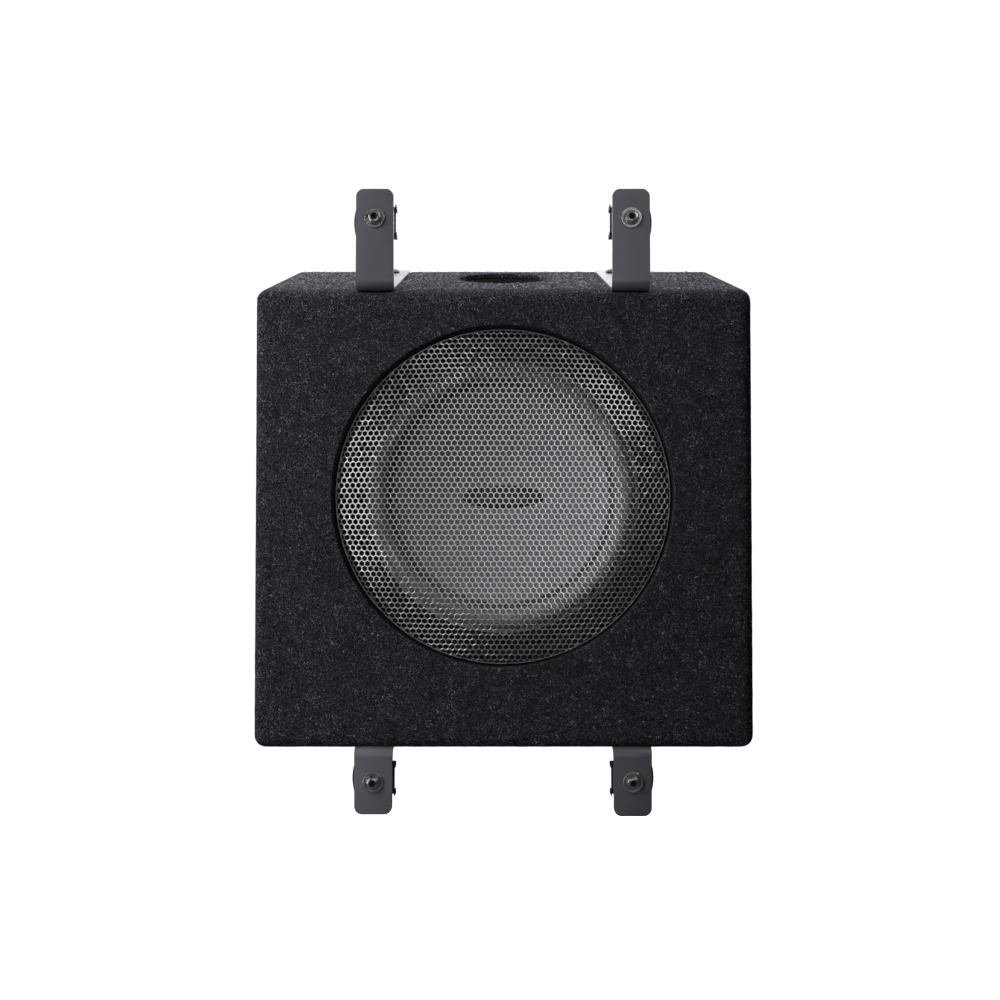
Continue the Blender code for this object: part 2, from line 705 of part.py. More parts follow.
def make_motor():
    """Spider, voice coil and magnet assembly."""
    steps = 8
    start, end = SPIDER_WAVE_RADII
    line = [(FORMER_RADIUS + FORMER_WALL + GAP, LEDGE_Y - GAP - SURROUND_THICKNESS)]
    for index in range(steps + 1):
        share = index / steps
        swing = SPIDER_WAVE_HEIGHT * math.sin(2.0 * math.pi * SPIDER_WAVES * share)
        line.append((start + (end - start) * share, line[0][1] - swing))
    line.append((SPIDER_RADIUS, line[0][1]))
    part(turned("spider", thick_line(line, SPIDER_THICKNESS), 24, closed=True), "cloth")

    former_outer = FORMER_RADIUS + FORMER_WALL
    coil_outer = former_outer + COIL_THICKNESS
    former_front_y = cone_y(FORMER_RADIUS) + CONE_THICKNESS + 2 * GAP
    section = [
        (FORMER_RADIUS, former_front_y),
        (former_outer, former_front_y),
        (former_outer, COIL_FRONT_Y),
        (coil_outer, COIL_FRONT_Y),
        (coil_outer, COIL_REAR_Y),
        (FORMER_RADIUS, COIL_REAR_Y),
    ]
    part(turned("voice_coil", section, 24, closed=True), "copper")

    top_rear_y = TOP_PLATE_Y + TOP_PLATE_THICKNESS
    plate_bore = coil_outer + COIL_CLEARANCE
    part(ring("top_plate", plate_bore, PLATE_RADIUS, TOP_PLATE_Y, top_rear_y, 32), "zinc")
    magnet_front_y = top_rear_y + GAP
    magnet_rear_y = magnet_front_y + MAGNET_THICKNESS
    magnet = ring("magnet", MAGNET_BORE_RADIUS, MAGNET_RADIUS, magnet_front_y, magnet_rear_y, 32)
    part(magnet, "ferrite")
    yoke_y = magnet_rear_y + GAP
    section = [
        (POLE_VENT_RADIUS, TOP_PLATE_Y - 0.001),
        (POLE_RADIUS, TOP_PLATE_Y - 0.001),
        (POLE_RADIUS, yoke_y),
        (PLATE_RADIUS, yoke_y),
        (PLATE_RADIUS, yoke_y + BACK_PLATE_THICKNESS),
        (POLE_VENT_RADIUS, yoke_y + BACK_PLATE_THICKNESS),
    ]
    part(turned("back_plate", section, 32, closed=True), "zinc")


def make_driver_terminal():
    """A tag board behind the basket's ledge, low on the driver, with two solder tags."""
    rear_y = LEDGE_Y + BASKET_THICKNESS + GAP
    width, thickness, height = TAG_BOARD_SIZE
    middle = (0.0, TAG_BOARD_Z)
    board = centred_block(
        "driver_terminal", middle, width / 2, height / 2, rear_y, rear_y + thickness
    )
    part(board, "black_plastic")
    tag_width, tag_length, tag_thickness = TAG_SIZE
    for side in (-1, 1):
        tag = centred_block(
            "terminal_tag",
            (side * TAG_X, TAG_Z),
            tag_width / 2,
            tag_thickness / 2,
            rear_y + TAG_BASE,
            rear_y + TAG_BASE + tag_length,
        )
        boolean(board, cutter(tag), "UNION")


def pan_screw(name, head, shank, place, outward):
    """A pan-head screw: head and shank are (radius, length), place is under its head."""
    recess_depth = 0.0012
    head_radius, head_height = head
    shank_radius, shank_length = shank
    profile = [
        (0.0, head_height),
        (0.75 * head_radius, 0.85 * head_height),
        (head_radius, 0.0),
        (shank_radius, 0.0),
        (0.8 * shank_radius, -shank_length),
        (0.0, -shank_length),
    ]
    shape = bmesh.new()
    points = [shape.verts.new((radius, 0.0, z)) for radius, z in profile]
    for start, end in zip(points, points[1:]):
        shape.edges.new((start, end))
    rotation = Vector((0.0, 0.0, 1.0)).rotation_difference(outward).to_euler()
    screw = spun(part(object_from(name, shape, place, rotation), "black_steel"), 10)
    recess = bmesh.new()
    bmesh.ops.create_cone(
        recess,
        cap_ends=True,
        segments=4,
        radius1=0.30 * head_radius,
        radius2=0.42 * head_radius,
        depth=2 * recess_depth,
    )
    top = Vector(place) + Vector(outward) * head_height
    boolean(screw, cutter(object_from(name + "_recess", recess, top, rotation)))


def make_driver_screws():
    front = Vector((0.0, -1.0, 0.0))
    for index, (x, z) in enumerate(driver_screw_places(), start=1):
        place = (x, FLANGE_FRONT_Y - GAP, z)
        name = f"driver_screw_{index}"
        pan_screw(name, DRIVER_SCREW_HEAD, DRIVER_SCREW_SHANK, place, front)


# ---- grille -------------------------------------------------------------------------------
def make_grille():
    """A steel sheet dished forwards, its rim on a spacer ring that stands on the mount board."""
    line = [
        (0.0, MESH_FRONT_Y),
        (MESH_FLAT_RADIUS, MESH_FRONT_Y),
        (MESH_FLAT_RADIUS + 0.0045, MESH_FRONT_Y + 0.0006),
        (MESH_FLAT_RADIUS + 0.0085, MESH_FRONT_Y + 0.0019),
        (MESH_RIM_RADIUS, MESH_RIM_Y),
    ]
    part(turned("grille_mesh", thick_line(line, MESH_THICKNESS), 40), "grille_steel")

    front_y = MESH_RIM_Y + MESH_THICKNESS + GAP
    rear_y = INSIDE_FRONT_Y - GAP
    inner = RING_RADIUS - RING_WALL
    section = [
        (inner, front_y),
        (RING_RADIUS, front_y),
        (RING_RADIUS, rear_y),
        (RING_FOOT_RADIUS, rear_y),
        (RING_FOOT_RADIUS, rear_y - RING_WALL),
        (inner, rear_y - RING_WALL),
    ]
    part(turned("grille_ring", section, 40, closed=True), "black_plastic")


# ---- brackets and clamps ------------------------------------------------------------------
def bent_strip(leg_end, bend, foot_end, thickness, inner_radius, steps=4):
    """Outline of a strip that runs leg_end - bend - foot_end along its middle line."""
    leg_end = Vector(leg_end)
    bend = Vector(bend)
    foot_end = Vector(foot_end)
    leg = (leg_end - bend).normalized()
    foot = (foot_end - bend).normalized()
    half_angle = leg.angle(foot) / 2
    middle_radius = inner_radius + thickness / 2
    inwards = (leg + foot).normalized()
    centre = bend + inwards * (middle_radius / math.sin(half_angle))
    to_leg = (bend + leg * (middle_radius / math.tan(half_angle)) - centre).normalized()
    to_foot = (bend + foot * (middle_radius / math.tan(half_angle)) - centre).normalized()
    half = thickness / 2
    inner = []
    outer = []
    for index in range(steps + 1):
        direction = to_leg.slerp(to_foot, index / steps)
        inner.append(centre + direction * inner_radius)
        outer.append(centre + direction * (inner_radius + thickness))
    outline = [leg_end + to_leg * half, leg_end - to_leg * half]
    outline += inner
    outline += [foot_end - to_foot * half, foot_end + to_foot * half]
    outline += outer[::-1]
    return [tuple(point) for point in outline]


def round_strip_ends(shape, ends):
    """Round the corners of a strip where it ends, seen flat on."""
    for end in ends:
        corners = []
        for edge in shape.edges:
            near = all((vert.co.xy - Vector(end)).length < STRAP_THICKNESS for vert in edge.verts)
            if near and edge.calc_length() < 2 * STRAP_THICKNESS:
                corners.append(edge)
        bmesh.ops.bevel(
            shape, geom=corners, offset=STRAP_CORNER_RADIUS, segments=4, profile=0.5, affect="EDGES"
        )


def make_bracket(corner, side, level, screw_place, outward):
    """A strap whose leg stands in the front plane and whose foot is pressed into the carpet."""
    half = STRAP_THICKNESS / 2
    depth = STRAP_SINK - half
    if level > 0:
        leg_end = (-half, STRAP_TOP_Z)
        bend = (-half, top_z(-half, depth))
        foot_end = (STRAP_REACH_Y, top_z(STRAP_REACH_Y, depth))
    else:
        leg_end = (-half, STRAP_BOTTOM_Z)
        bend = (-half, BOTTOM_Z + depth)
        foot_end = (STRAP_REACH_Y, BOTTOM_Z + depth)
    outline = bent_strip(leg_end, bend, foot_end, STRAP_THICKNESS, STRAP_BEND_RADIUS)
    shape = outline_shape(outline, STRAP_WIDTH)
    round_strip_ends(shape, [leg_end, foot_end])
    middle = side * STRAP_X
    turn = (math.pi / 2, 0.0, math.pi / 2)
    strap = object_from(f"bracket_{corner}", shape, (middle, 0.0, 0.0), turn)
    part(strap, "strap_steel")
    bolt_z = BOLT_Z[level]
    front = (middle, -STRAP_THICKNESS - CUT_PAST, bolt_z)
    rear = (middle, CUT_PAST, bolt_z)
    boolean(strap, cutter(rod(f"bolt_hole_{corner}", BOLT_HOLE_RADIUS, front, rear, 16)))
    low = screw_place - outward * (STRAP_SINK + CUT_PAST)
    high = screw_place + outward * (STRAP_THICKNESS + CUT_PAST)
    screw_hole = rod(f"screw_hole_{corner}", BRACKET_SCREW_HOLE_RADIUS, low, high, 12)
    boolean(strap, cutter(screw_hole))
    under_head = screw_place + outward * (STRAP_THICKNESS - STRAP_SINK + GAP)
    name = f"bracket_screw_{corner}"
    pan_screw(name, BRACKET_SCREW_HEAD, BRACKET_SCREW_SHANK, under_head, outward)


def make_clamp_bolt(corner, side, level):
    """A flanged button-head bolt with a hexagon socket, turned on its own axis."""
    seat = -STRAP_THICKNESS - GAP
    profile = [
        (0.0, seat - BOLT_HEAD_HEIGHT),
        (0.0032, seat - 0.9 * BOLT_HEAD_HEIGHT),
        (BOLT_DOME_RADIUS, seat - 0.0010),
        (BOLT_FLANGE_RADIUS, seat - 0.0009),
        (BOLT_FLANGE_RADIUS, seat),
        (BOLT_RADIUS, seat),
        (BOLT_RADIUS, BOLT_END_Y - 0.0006),
        (BOLT_RADIUS - 0.0006, BOLT_END_Y),
        (0.0, BOLT_END_Y),
    ]
    centre = (side * STRAP_X, BOLT_Z[level])
    bolt = turned(f"clamp_bolt_{corner}", profile, 14, centre=centre)
    part(bolt, "bolt_steel")
    front = (centre[0], seat - 0.0050, centre[1])
    rear = (centre[0], seat - 0.0016, centre[1])
    socket = rod(f"hexagon_socket_{corner}", BOLT_SOCKET_RADIUS, front, rear, 6)
    boolean(bolt, cutter(socket))


def make_clamp_plate(corner, side, level):
    """A plate with a welded nut. Two fingers at its inner edge slide along the strap."""
    arch_radius = (CLAMP_HALF_HEIGHT**2 + CLAMP_OUTER_BULGE**2) / (2 * CLAMP_OUTER_BULGE)
    arch_centre = (arch_radius - CLAMP_OUTER_X - CLAMP_OUTER_BULGE, 0.0)
    half_span = math.degrees(math.asin(CLAMP_HALF_HEIGHT / arch_radius))
    outline = arc(arch_centre, arch_radius, 180.0 + half_span, 180.0 - half_span, 6)
    outline += [
        (CLAMP_FINGER_X, CLAMP_HALF_HEIGHT),
        (CLAMP_FINGER_X, CLAMP_HALF_HEIGHT - FINGER_HEIGHT),
        (CLAMP_INNER_X, CLAMP_HALF_HEIGHT - FINGER_HEIGHT),
        (CLAMP_INNER_X, FINGER_HEIGHT - CLAMP_HALF_HEIGHT),
        (CLAMP_FINGER_X, FINGER_HEIGHT - CLAMP_HALF_HEIGHT),
        (CLAMP_FINGER_X, -CLAMP_HALF_HEIGHT),
    ]
    middle_x = side * STRAP_X
    middle_z = BOLT_Z[level]
    outline = [(middle_x - side * x, middle_z + z) for x, z in outline]
    rear_y = CLAMP_GAP + CLAMP_THICKNESS
    plate = part(front_prism(f"clamp_plate_{corner}", outline, CLAMP_GAP, rear_y), "black_steel")
    nut_low = (middle_x, rear_y - CLAMP_THICKNESS / 2, middle_z)
    nut_high = (middle_x, rear_y + NUT_THICKNESS, middle_z)
    nut = cutter(rod(f"weld_nut_{corner}", NUT_RADIUS, nut_low, nut_high, 6))
    boolean(plate, nut, "UNION")
    for end in (-1, 1):
        xs = sorted(middle_x - side * x for x in (CLAMP_INNER_X, CLAMP_FINGER_X))
        zs = sorted(
            middle_z + end * z for z in (CLAMP_HALF_HEIGHT, CLAMP_HALF_HEIGHT - FINGER_HEIGHT)
        )
        low = (xs[0], CLAMP_GAP - FINGER_LENGTH, zs[0])
        high = (xs[1], CLAMP_GAP + CLAMP_THICKNESS / 2, zs[1])
        boolean(plate, cutter(block(f"finger_{corner}", low, high)), "UNION")
    front = (middle_x, CLAMP_GAP - CUT_PAST, middle_z)
    rear = (middle_x, rear_y + NUT_THICKNESS + CUT_PAST, middle_z)
    boolean(plate, cutter(rod(f"nut_bore_{corner}", BOLT_RADIUS + GAP, front, rear, 16)))


def make_brackets():
    places = screw_directions()
    for corner, (side, level) in CORNERS.items():
        make_bracket(corner, side, level, *places[corner])
        make_clamp_bolt(corner, side, level)
        make_clamp_plate(corner, side, level)


# ---- amplifier ----------------------------------------------------------------------------
def amp_screw_places():
    half_x = AMP_HALF_WIDTH - AMP_SCREW_INSET
    half_z = AMP_HALF_HEIGHT - AMP_SCREW_INSET
    return [
        (side * half_x, AMP_CENTRE_Z + level * half_z) for level in (1, -1) for side in (-1, 1)
    ]


def centred_block(name, middle, half_x, half_z, front_y, rear_y):
    """A block about an (x, z) place, between two depths."""
    x, z = middle
    return block(name, (x - half_x, front_y, z - half_z), (x + half_x, rear_y, z + half_z))


def make_amp_panel():
    """The amplifier's plate: cooling fins on one half, controls and sockets on the other."""
    face = AMP_PLATE_REAR_Y
    middle = (0.0, AMP_CENTRE_Z)
    plate = centred_block(
        "amp_panel", middle, AMP_HALF_WIDTH, AMP_HALF_HEIGHT, AMP_PLATE_FRONT_Y, face
    )
    part(plate, "aluminium")
    sunk_y = face - AMP_PLATE_THICKNESS / 2
    for index in range(FIN_COUNT):
        place = (FIN_FIRST_X + FIN_PITCH * index, AMP_CENTRE_Z)
        fin = centred_block(
            "fin", place, FIN_THICKNESS / 2, FIN_HALF_LENGTH, sunk_y, face + FIN_HEIGHT
        )
        boolean(plate, cutter(fin), "UNION")

    through = (AMP_PLATE_FRONT_Y - CUT_PAST, face + CUT_PAST)
    round_holes = [
        (GAIN_KNOB_X, KNOB_Z, SPINDLE_RADIUS + GAP),
        (CROSSOVER_KNOB_X, KNOB_Z, SPINDLE_RADIUS + GAP),
        (LED_X, KNOB_Z, LED_RADIUS + GAP),
        (SOCKETS_X - SOCKET_SPACING / 2, SOCKETS_Z, SOCKET_HOLE_RADIUS),
        (SOCKETS_X + SOCKET_SPACING / 2, SOCKETS_Z, SOCKET_HOLE_RADIUS),
    ]
    for x, z, radius in round_holes:
        hole = rod("panel_hole", radius, (x, through[0], z), (x, through[1], z), 16)
        boolean(plate, cutter(hole))
    for x, z in amp_screw_places():
        ends = [(x, y, z) for y in through]
        boolean(plate, cutter(rod("panel_screw_hole", AMP_SCREW_HOLE_RADIUS, *ends, 12)))
    slots = [
        ((SWITCH_X, SWITCH_Z), SWITCH_TRAVEL / 2 + 0.0024, 0.0021),
        ((TERMINAL_X, TERMINAL_Z), TERMINAL_SIZE[0] / 2 + GAP, TERMINAL_SIZE[1] / 2 + GAP),
        ((FUSE_X, FUSE_Z), FUSE_SIZE[0] / 2 + GAP, FUSE_SIZE[2] / 2 + GAP),
    ]
    for place, half_x, half_z in slots:
        boolean(plate, cutter(centred_block("panel_slot", place, half_x, half_z, *through)))

    rear = Vector((0.0, 1.0, 0.0))
    for index, (x, z) in enumerate(amp_screw_places(), start=1):
        place = (x, face + GAP, z)
        pan_screw(f"amp_screw_{index}", AMP_SCREW_HEAD, AMP_SCREW_SHANK, place, rear)


def make_circuit_board():
    """The amplifier's board with its tall parts, on four posts behind the panel."""
    behind = CIRCUIT_BOARD_Y + CIRCUIT_BOARD_THICKNESS
    post_end = AMP_PLATE_FRONT_Y - GAP
    sunk = CIRCUIT_BOARD_THICKNESS / 2
    board = centred_block(
        "circuit_board",
        (0.0, AMP_CENTRE_Z),
        BOARD_HALF_WIDTH,
        BOARD_HALF_HEIGHT,
        CIRCUIT_BOARD_Y,
        behind,
    )
    part(board, "circuit")

    def add_round(name, x, z, radius, front_y, rear_y):
        boolean(board, cutter(rod(name, radius, (x, front_y, z), (x, rear_y, z), 12)), "UNION")

    def add_block(name, place, half_x, half_z, front_y, rear_y):
        tool = cutter(centred_block(name, place, half_x, half_z, front_y, rear_y))
        boolean(board, tool, "UNION")

    for side in (-1, 1):
        for level in (-1, 1):
            x = side * (BOARD_HALF_WIDTH - 0.004)
            z = AMP_CENTRE_Z + level * (BOARD_HALF_HEIGHT - 0.004)
            add_round("post", x, z, 0.0025, behind - sunk, post_end)
    for x in (-0.078, -0.060, -0.042):
        add_round("capacitor", x, -0.112, 0.0065, 0.090, CIRCUIT_BOARD_Y + sunk)
    add_round("choke", -0.010, -0.108, 0.014, 0.100, CIRCUIT_BOARD_Y + sunk)
    add_block("transformer", (0.030, -0.106), 0.014, 0.011, 0.096, CIRCUIT_BOARD_Y + sunk)
    add_block("output_stage", (-0.045, -0.068), 0.030, 0.005, 0.100, CIRCUIT_BOARD_Y + sunk)
    add_block(
        "output_socket",
        (0.0, OUTPUT_SOCKET_Z),
        0.006,
        0.004,
        OUTPUT_SOCKET_Y,
        CIRCUIT_BOARD_Y + sunk,
    )
    for x in (GAIN_KNOB_X, CROSSOVER_KNOB_X):
        add_block("potentiometer", (x, KNOB_Z), 0.007, 0.006, behind - sunk, post_end)
    add_block("switch_body", (SWITCH_X, SWITCH_Z), 0.006, 0.004, behind - sunk, post_end)
    add_block("fuse_clips", (FUSE_X, FUSE_Z), 0.011, 0.004, behind - sunk, behind + 0.001)


def knob(name, x):
    """A round knob on its spindle, with a pointer groove that stands upright at rest."""
    front_y = AMP_PLATE_FRONT_Y
    profile = [
        (0.0, front_y),
        (SPINDLE_RADIUS, front_y),
        (SPINDLE_RADIUS, AMP_FACE_Y + 0.0005),
        (KNOB_RADIUS, AMP_FACE_Y + 0.0005),
        (0.92 * KNOB_RADIUS, AMP_FACE_Y + KNOB_HEIGHT - 0.0008),
        (0.80 * KNOB_RADIUS, AMP_FACE_Y + KNOB_HEIGHT),
        (0.0, AMP_FACE_Y + KNOB_HEIGHT),
    ]
    obj = part(turned(name, profile, 20, centre=(x, KNOB_Z)), "black_plastic")
    low = (x - 0.0005, AMP_FACE_Y + KNOB_HEIGHT - 0.0008, KNOB_Z + 0.0015)
    high = (x + 0.0005, AMP_FACE_Y + KNOB_HEIGHT + CUT_PAST, KNOB_Z + KNOB_RADIUS)
    return boolean(obj, cutter(block(f"{name}_pointer", low, high)))


def make_controls():
    knob("gain_knob", GAIN_KNOB_X)
    knob("crossover_knob", CROSSOVER_KNOB_X)
    rest_x = SWITCH_X - SWITCH_TRAVEL / 2
    nub = centred_block(
        "phase_switch", (rest_x, SWITCH_Z), 0.0020, 0.0017, AMP_PLATE_FRONT_Y, AMP_FACE_Y + 0.003
    )
    round_edges(part(nub, "black_plastic"), 0.0004, segments=1)
    profile = [
        (0.0, AMP_PLATE_FRONT_Y),
        (LED_RADIUS, AMP_PLATE_FRONT_Y),
        (LED_RADIUS, AMP_FACE_Y + 0.0008),
        (0.7 * LED_RADIUS, AMP_FACE_Y + 0.0025),
        (0.0, AMP_FACE_Y + 0.0032),
    ]
    part(turned("power_led", profile, 12, centre=(LED_X, KNOB_Z)), "lamp")


def make_connectors():
    board_rear_y = CIRCUIT_BOARD_Y + CIRCUIT_BOARD_THICKNESS + GAP
    width, height, depth = TERMINAL_SIZE
    place = (TERMINAL_X, TERMINAL_Z)
    rear_y = AMP_FACE_Y + TERMINAL_HEIGHT
    terminal = centred_block(
        "power_terminal", place, width / 2, height / 2, board_rear_y, rear_y
    )
    part(terminal, "black_plastic")
    for step in (-1, 0, 1):
        middle = (TERMINAL_X + step * WIRE_ENTRY_SPACING, TERMINAL_Z)
        floor_y = rear_y - depth + TERMINAL_FLOOR
        entry = centred_block("wire_entry", middle, *WIRE_ENTRY_HALF, floor_y, rear_y + CUT_PAST)
        boolean(terminal, cutter(entry))

    half_x, height, half_z = FUSE_SIZE[0] / 2, FUSE_SIZE[1], FUSE_SIZE[2] / 2
    fuse_rear_y = AMP_FACE_Y + FUSE_HEIGHT
    fuse = centred_block(
        "fuse", (FUSE_X, FUSE_Z), half_x, half_z, fuse_rear_y - height, fuse_rear_y
    )
    round_edges(part(fuse, "orange_plastic"), 0.0006, segments=1)

    body_rear_y = AMP_PLATE_FRONT_Y - GAP
    middle = (SOCKETS_X, SOCKETS_Z)
    sockets = centred_block("input_sockets", middle, *SOCKET_BODY_HALF, board_rear_y, body_rear_y)
    part(sockets, "black_plastic")
    for side in (-1, 1):
        x = SOCKETS_X + side * SOCKET_SPACING / 2
        start = (x, AMP_PLATE_FRONT_Y - CUT_PAST, SOCKETS_Z)
        end = (x, AMP_FACE_Y + SOCKET_HEIGHT, SOCKETS_Z)
        boolean(sockets, cutter(rod("socket_barrel", SOCKET_RADIUS, start, end, 16)), "UNION")
        past = (x, AMP_FACE_Y + SOCKET_HEIGHT + CUT_PAST, SOCKETS_Z)
        boolean(sockets, cutter(rod("socket_bore", SOCKET_BORE_RADIUS, start, past, 12)))


def make_speaker_lead():
    """The lead inside the box, from the board's output socket to the driver's tag board."""
    tag_rear_y = LEDGE_Y + BASKET_THICKNESS + GAP + TAG_BASE + TAG_SIZE[1]
    start = Vector((0.0, OUTPUT_SOCKET_Y - 2 * GAP, OUTPUT_SOCKET_Z))
    end = Vector((0.0, tag_rear_y + 2 * GAP, TAG_Z))
    reach = Vector((0.0, 0.030, 0.0))
    curve = bpy.data.curves.new("speaker_lead", "CURVE")
    curve.dimensions = "3D"
    curve.bevel_depth = 0.0016
    curve.bevel_resolution = 2
    curve.use_fill_caps = True
    route = interpolate_bezier(start, start - reach, end + reach, end, 16)
    spline = curve.splines.new("POLY")
    spline.points.add(len(route) - 1)
    for point, place in zip(spline.points, route):
        point.co = (*place, 1.0)
    part(bpy.data.objects.new("speaker_lead", curve), "black_plastic")


def make_driver():
    make_cone()
    make_surround()
    make_basket()
    make_motor()
    make_driver_terminal()
    make_driver_screws()


def make_amplifier():
    make_amp_panel()
    make_circuit_board()
    make_controls()
    make_connectors()
    make_speaker_lead()


make_enclosure()
make_driver()
make_grille()
make_brackets()
make_amplifier()
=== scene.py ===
"""The looks of the car subwoofer: detailed pieces and procedural materials round its frame.

Metres, +Z up; the driver's axis is the Y axis and the front faces -Y, as in the CAD model.
Turned shapes are drawn as (radius, y) and spun about a line along Y.
"""

import random
from math import asin, ceil, cos, degrees, hypot, pi, radians, sin, sqrt, tan

import bmesh
import bpy
from mathutils import Matrix, Vector, noise


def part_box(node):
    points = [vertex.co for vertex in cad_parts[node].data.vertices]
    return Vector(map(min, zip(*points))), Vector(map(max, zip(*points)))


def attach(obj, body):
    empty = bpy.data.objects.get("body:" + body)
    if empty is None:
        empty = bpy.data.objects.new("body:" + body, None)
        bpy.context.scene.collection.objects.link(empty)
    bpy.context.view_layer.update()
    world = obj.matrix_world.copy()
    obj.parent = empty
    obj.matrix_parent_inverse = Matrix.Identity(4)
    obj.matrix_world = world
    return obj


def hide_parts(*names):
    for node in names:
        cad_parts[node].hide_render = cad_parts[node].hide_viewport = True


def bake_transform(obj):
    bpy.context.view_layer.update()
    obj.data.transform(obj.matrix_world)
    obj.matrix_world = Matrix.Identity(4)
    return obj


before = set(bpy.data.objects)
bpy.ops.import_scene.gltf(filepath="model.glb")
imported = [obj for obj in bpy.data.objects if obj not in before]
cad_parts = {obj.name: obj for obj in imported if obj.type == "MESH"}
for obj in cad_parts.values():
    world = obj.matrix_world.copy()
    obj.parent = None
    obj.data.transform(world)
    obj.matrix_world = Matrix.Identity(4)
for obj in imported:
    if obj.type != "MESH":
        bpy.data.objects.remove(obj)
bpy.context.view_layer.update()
BODY = "enclosure"
REARWARDS = Vector((0.0, 1.0, 0.0))
FORWARDS = Vector((0.0, -1.0, 0.0))

# ---- dimensions shared with the CAD model -------------------------------------------------
GAP = 0.0003
BOX_HALF_WIDTH = 0.1668
FRONT_Y = -0.003
REAR_Y = 0.127
BOTTOM_Z = -0.1690
TOP_FRONT_Z = 0.1383
TOP_SLOPE = radians(20.0)
CARPET = 0.003
SKIN = CARPET + GAP
EDGE_RADIUS = 0.008
FLANK_BULGE = 0.0016
LEFT_BULGE = 0.0006
OPENING_RADIUS = 0.1150
PORT_Y = 0.0725
PORT_RADIUS = 0.033
PORT_WALL = 0.0025
PORT_BOTTOM_Z = 0.100
FLANGE_RADIUS = 0.1025
FLANGE_Y = 0.0180
FLANGE_THICKNESS = 0.003
DRIVER_SCREW_CIRCLE = 0.0985
CONE_RADIUS = 0.073
CONE_RIM_RADIUS = 0.077
CONE_DEPTH = 0.013
CONE_THICKNESS = 0.0012
SURROUND_INNER_RADIUS = 0.074
ROLL_CENTRE_RADIUS = 0.084
ROLL_RADIUS = 0.0065
GLUED_RADIUS = ROLL_CENTRE_RADIUS - ROLL_RADIUS - 0.0004
SURROUND_THICKNESS = 0.001
SURROUND_REAR_Y = FLANGE_Y - GAP
LEDGE_Y = 0.050
BADGE_HALF_WIDTH = 0.029
BADGE_HALF_HEIGHT = 0.008
MESH_FRONT_Y = -0.007
MESH_THICKNESS = 0.0012
MESH_RIM_RADIUS = 0.1133
MESH_RIM_Y = 0.0040
RING_RADIUS = 0.1138
RING_WALL = 0.003
RING_FOOT_RADIUS = 0.104
RING_REAR_Y = 0.0223
STRAP_X = 0.0865
STRAP_WIDTH = 0.0256
STRAP_THICKNESS = 0.003
STRAP_CORNER_RADIUS = 0.0056
STRAP_BEND_RADIUS = 0.004
STRAP_SINK = 0.0018
STRAP_TOP_Z = 0.2074
STRAP_BOTTOM_Z = -0.2135
STRAP_REACH_Y = 0.121
STRAP_SCREW_Y = 0.100
BOLT_Z = {1: 0.1875, -1: -0.1907}
BOLT_RADIUS = 0.0029
BUTTON_RADIUS = 0.0051
SOCKET_RADIUS = 0.0023
SOCKET_MOUTH = 0.0037
BOLT_END_Y = 0.021
CLAMP_GAP = 0.008
CLAMP_THICKNESS = 0.0025
CLAMP_HALF_HEIGHT = 0.0110
CLAMP_INNER_X = 0.0131
CLAMP_FINGER_X = 0.0141
CLAMP_OUTER_X = 0.0138
CLAMP_OUTER_BULGE = 0.0018
FINGER_HEIGHT = 0.0035
FINGER_LENGTH = 0.005
NUT_RADIUS = 0.0056
NUT_THICKNESS = 0.005
AMP_CENTRE_Z = -0.090
AMP_HALF_WIDTH = 0.110
AMP_HALF_HEIGHT = 0.055
AMP_PLATE_FRONT_Y = 0.124
AMP_PLATE_Y = 0.127
AMP_FACE_Y = AMP_PLATE_Y + GAP
# Each corner: its side and level; its strap's paint, one of four lighter or darker copies of one
# paint that carry painted light and shade, and its shortening; its bolt's flange finish, a lighter
# copy of the bolt steel that carries a painted reflection.
CORNERS = {
    "top_left": (-1, 1, "strap_steel", 0.0, "flange_steel_painted_reflection"),
    "top_right": (1, 1, "strap_steel_2", 0.0, "flange_steel_painted_glint"),
    "bottom_left": (-1, -1, "strap_steel_3", 0.0012, "flange_steel_painted_reflection"),
    "bottom_right": (1, -1, "strap_steel_4", 0.0, "flange_steel_painted_reflection"),
}


def top_z(y, depth=0.0):
    """Height of the sloping top at y, on a plane that lies depth under it."""
    return TOP_FRONT_Z + (y - FRONT_Y) * tan(TOP_SLOPE) - depth / cos(TOP_SLOPE)


# ---- materials ----------------------------------------------------------------------------
FINISHES = {}


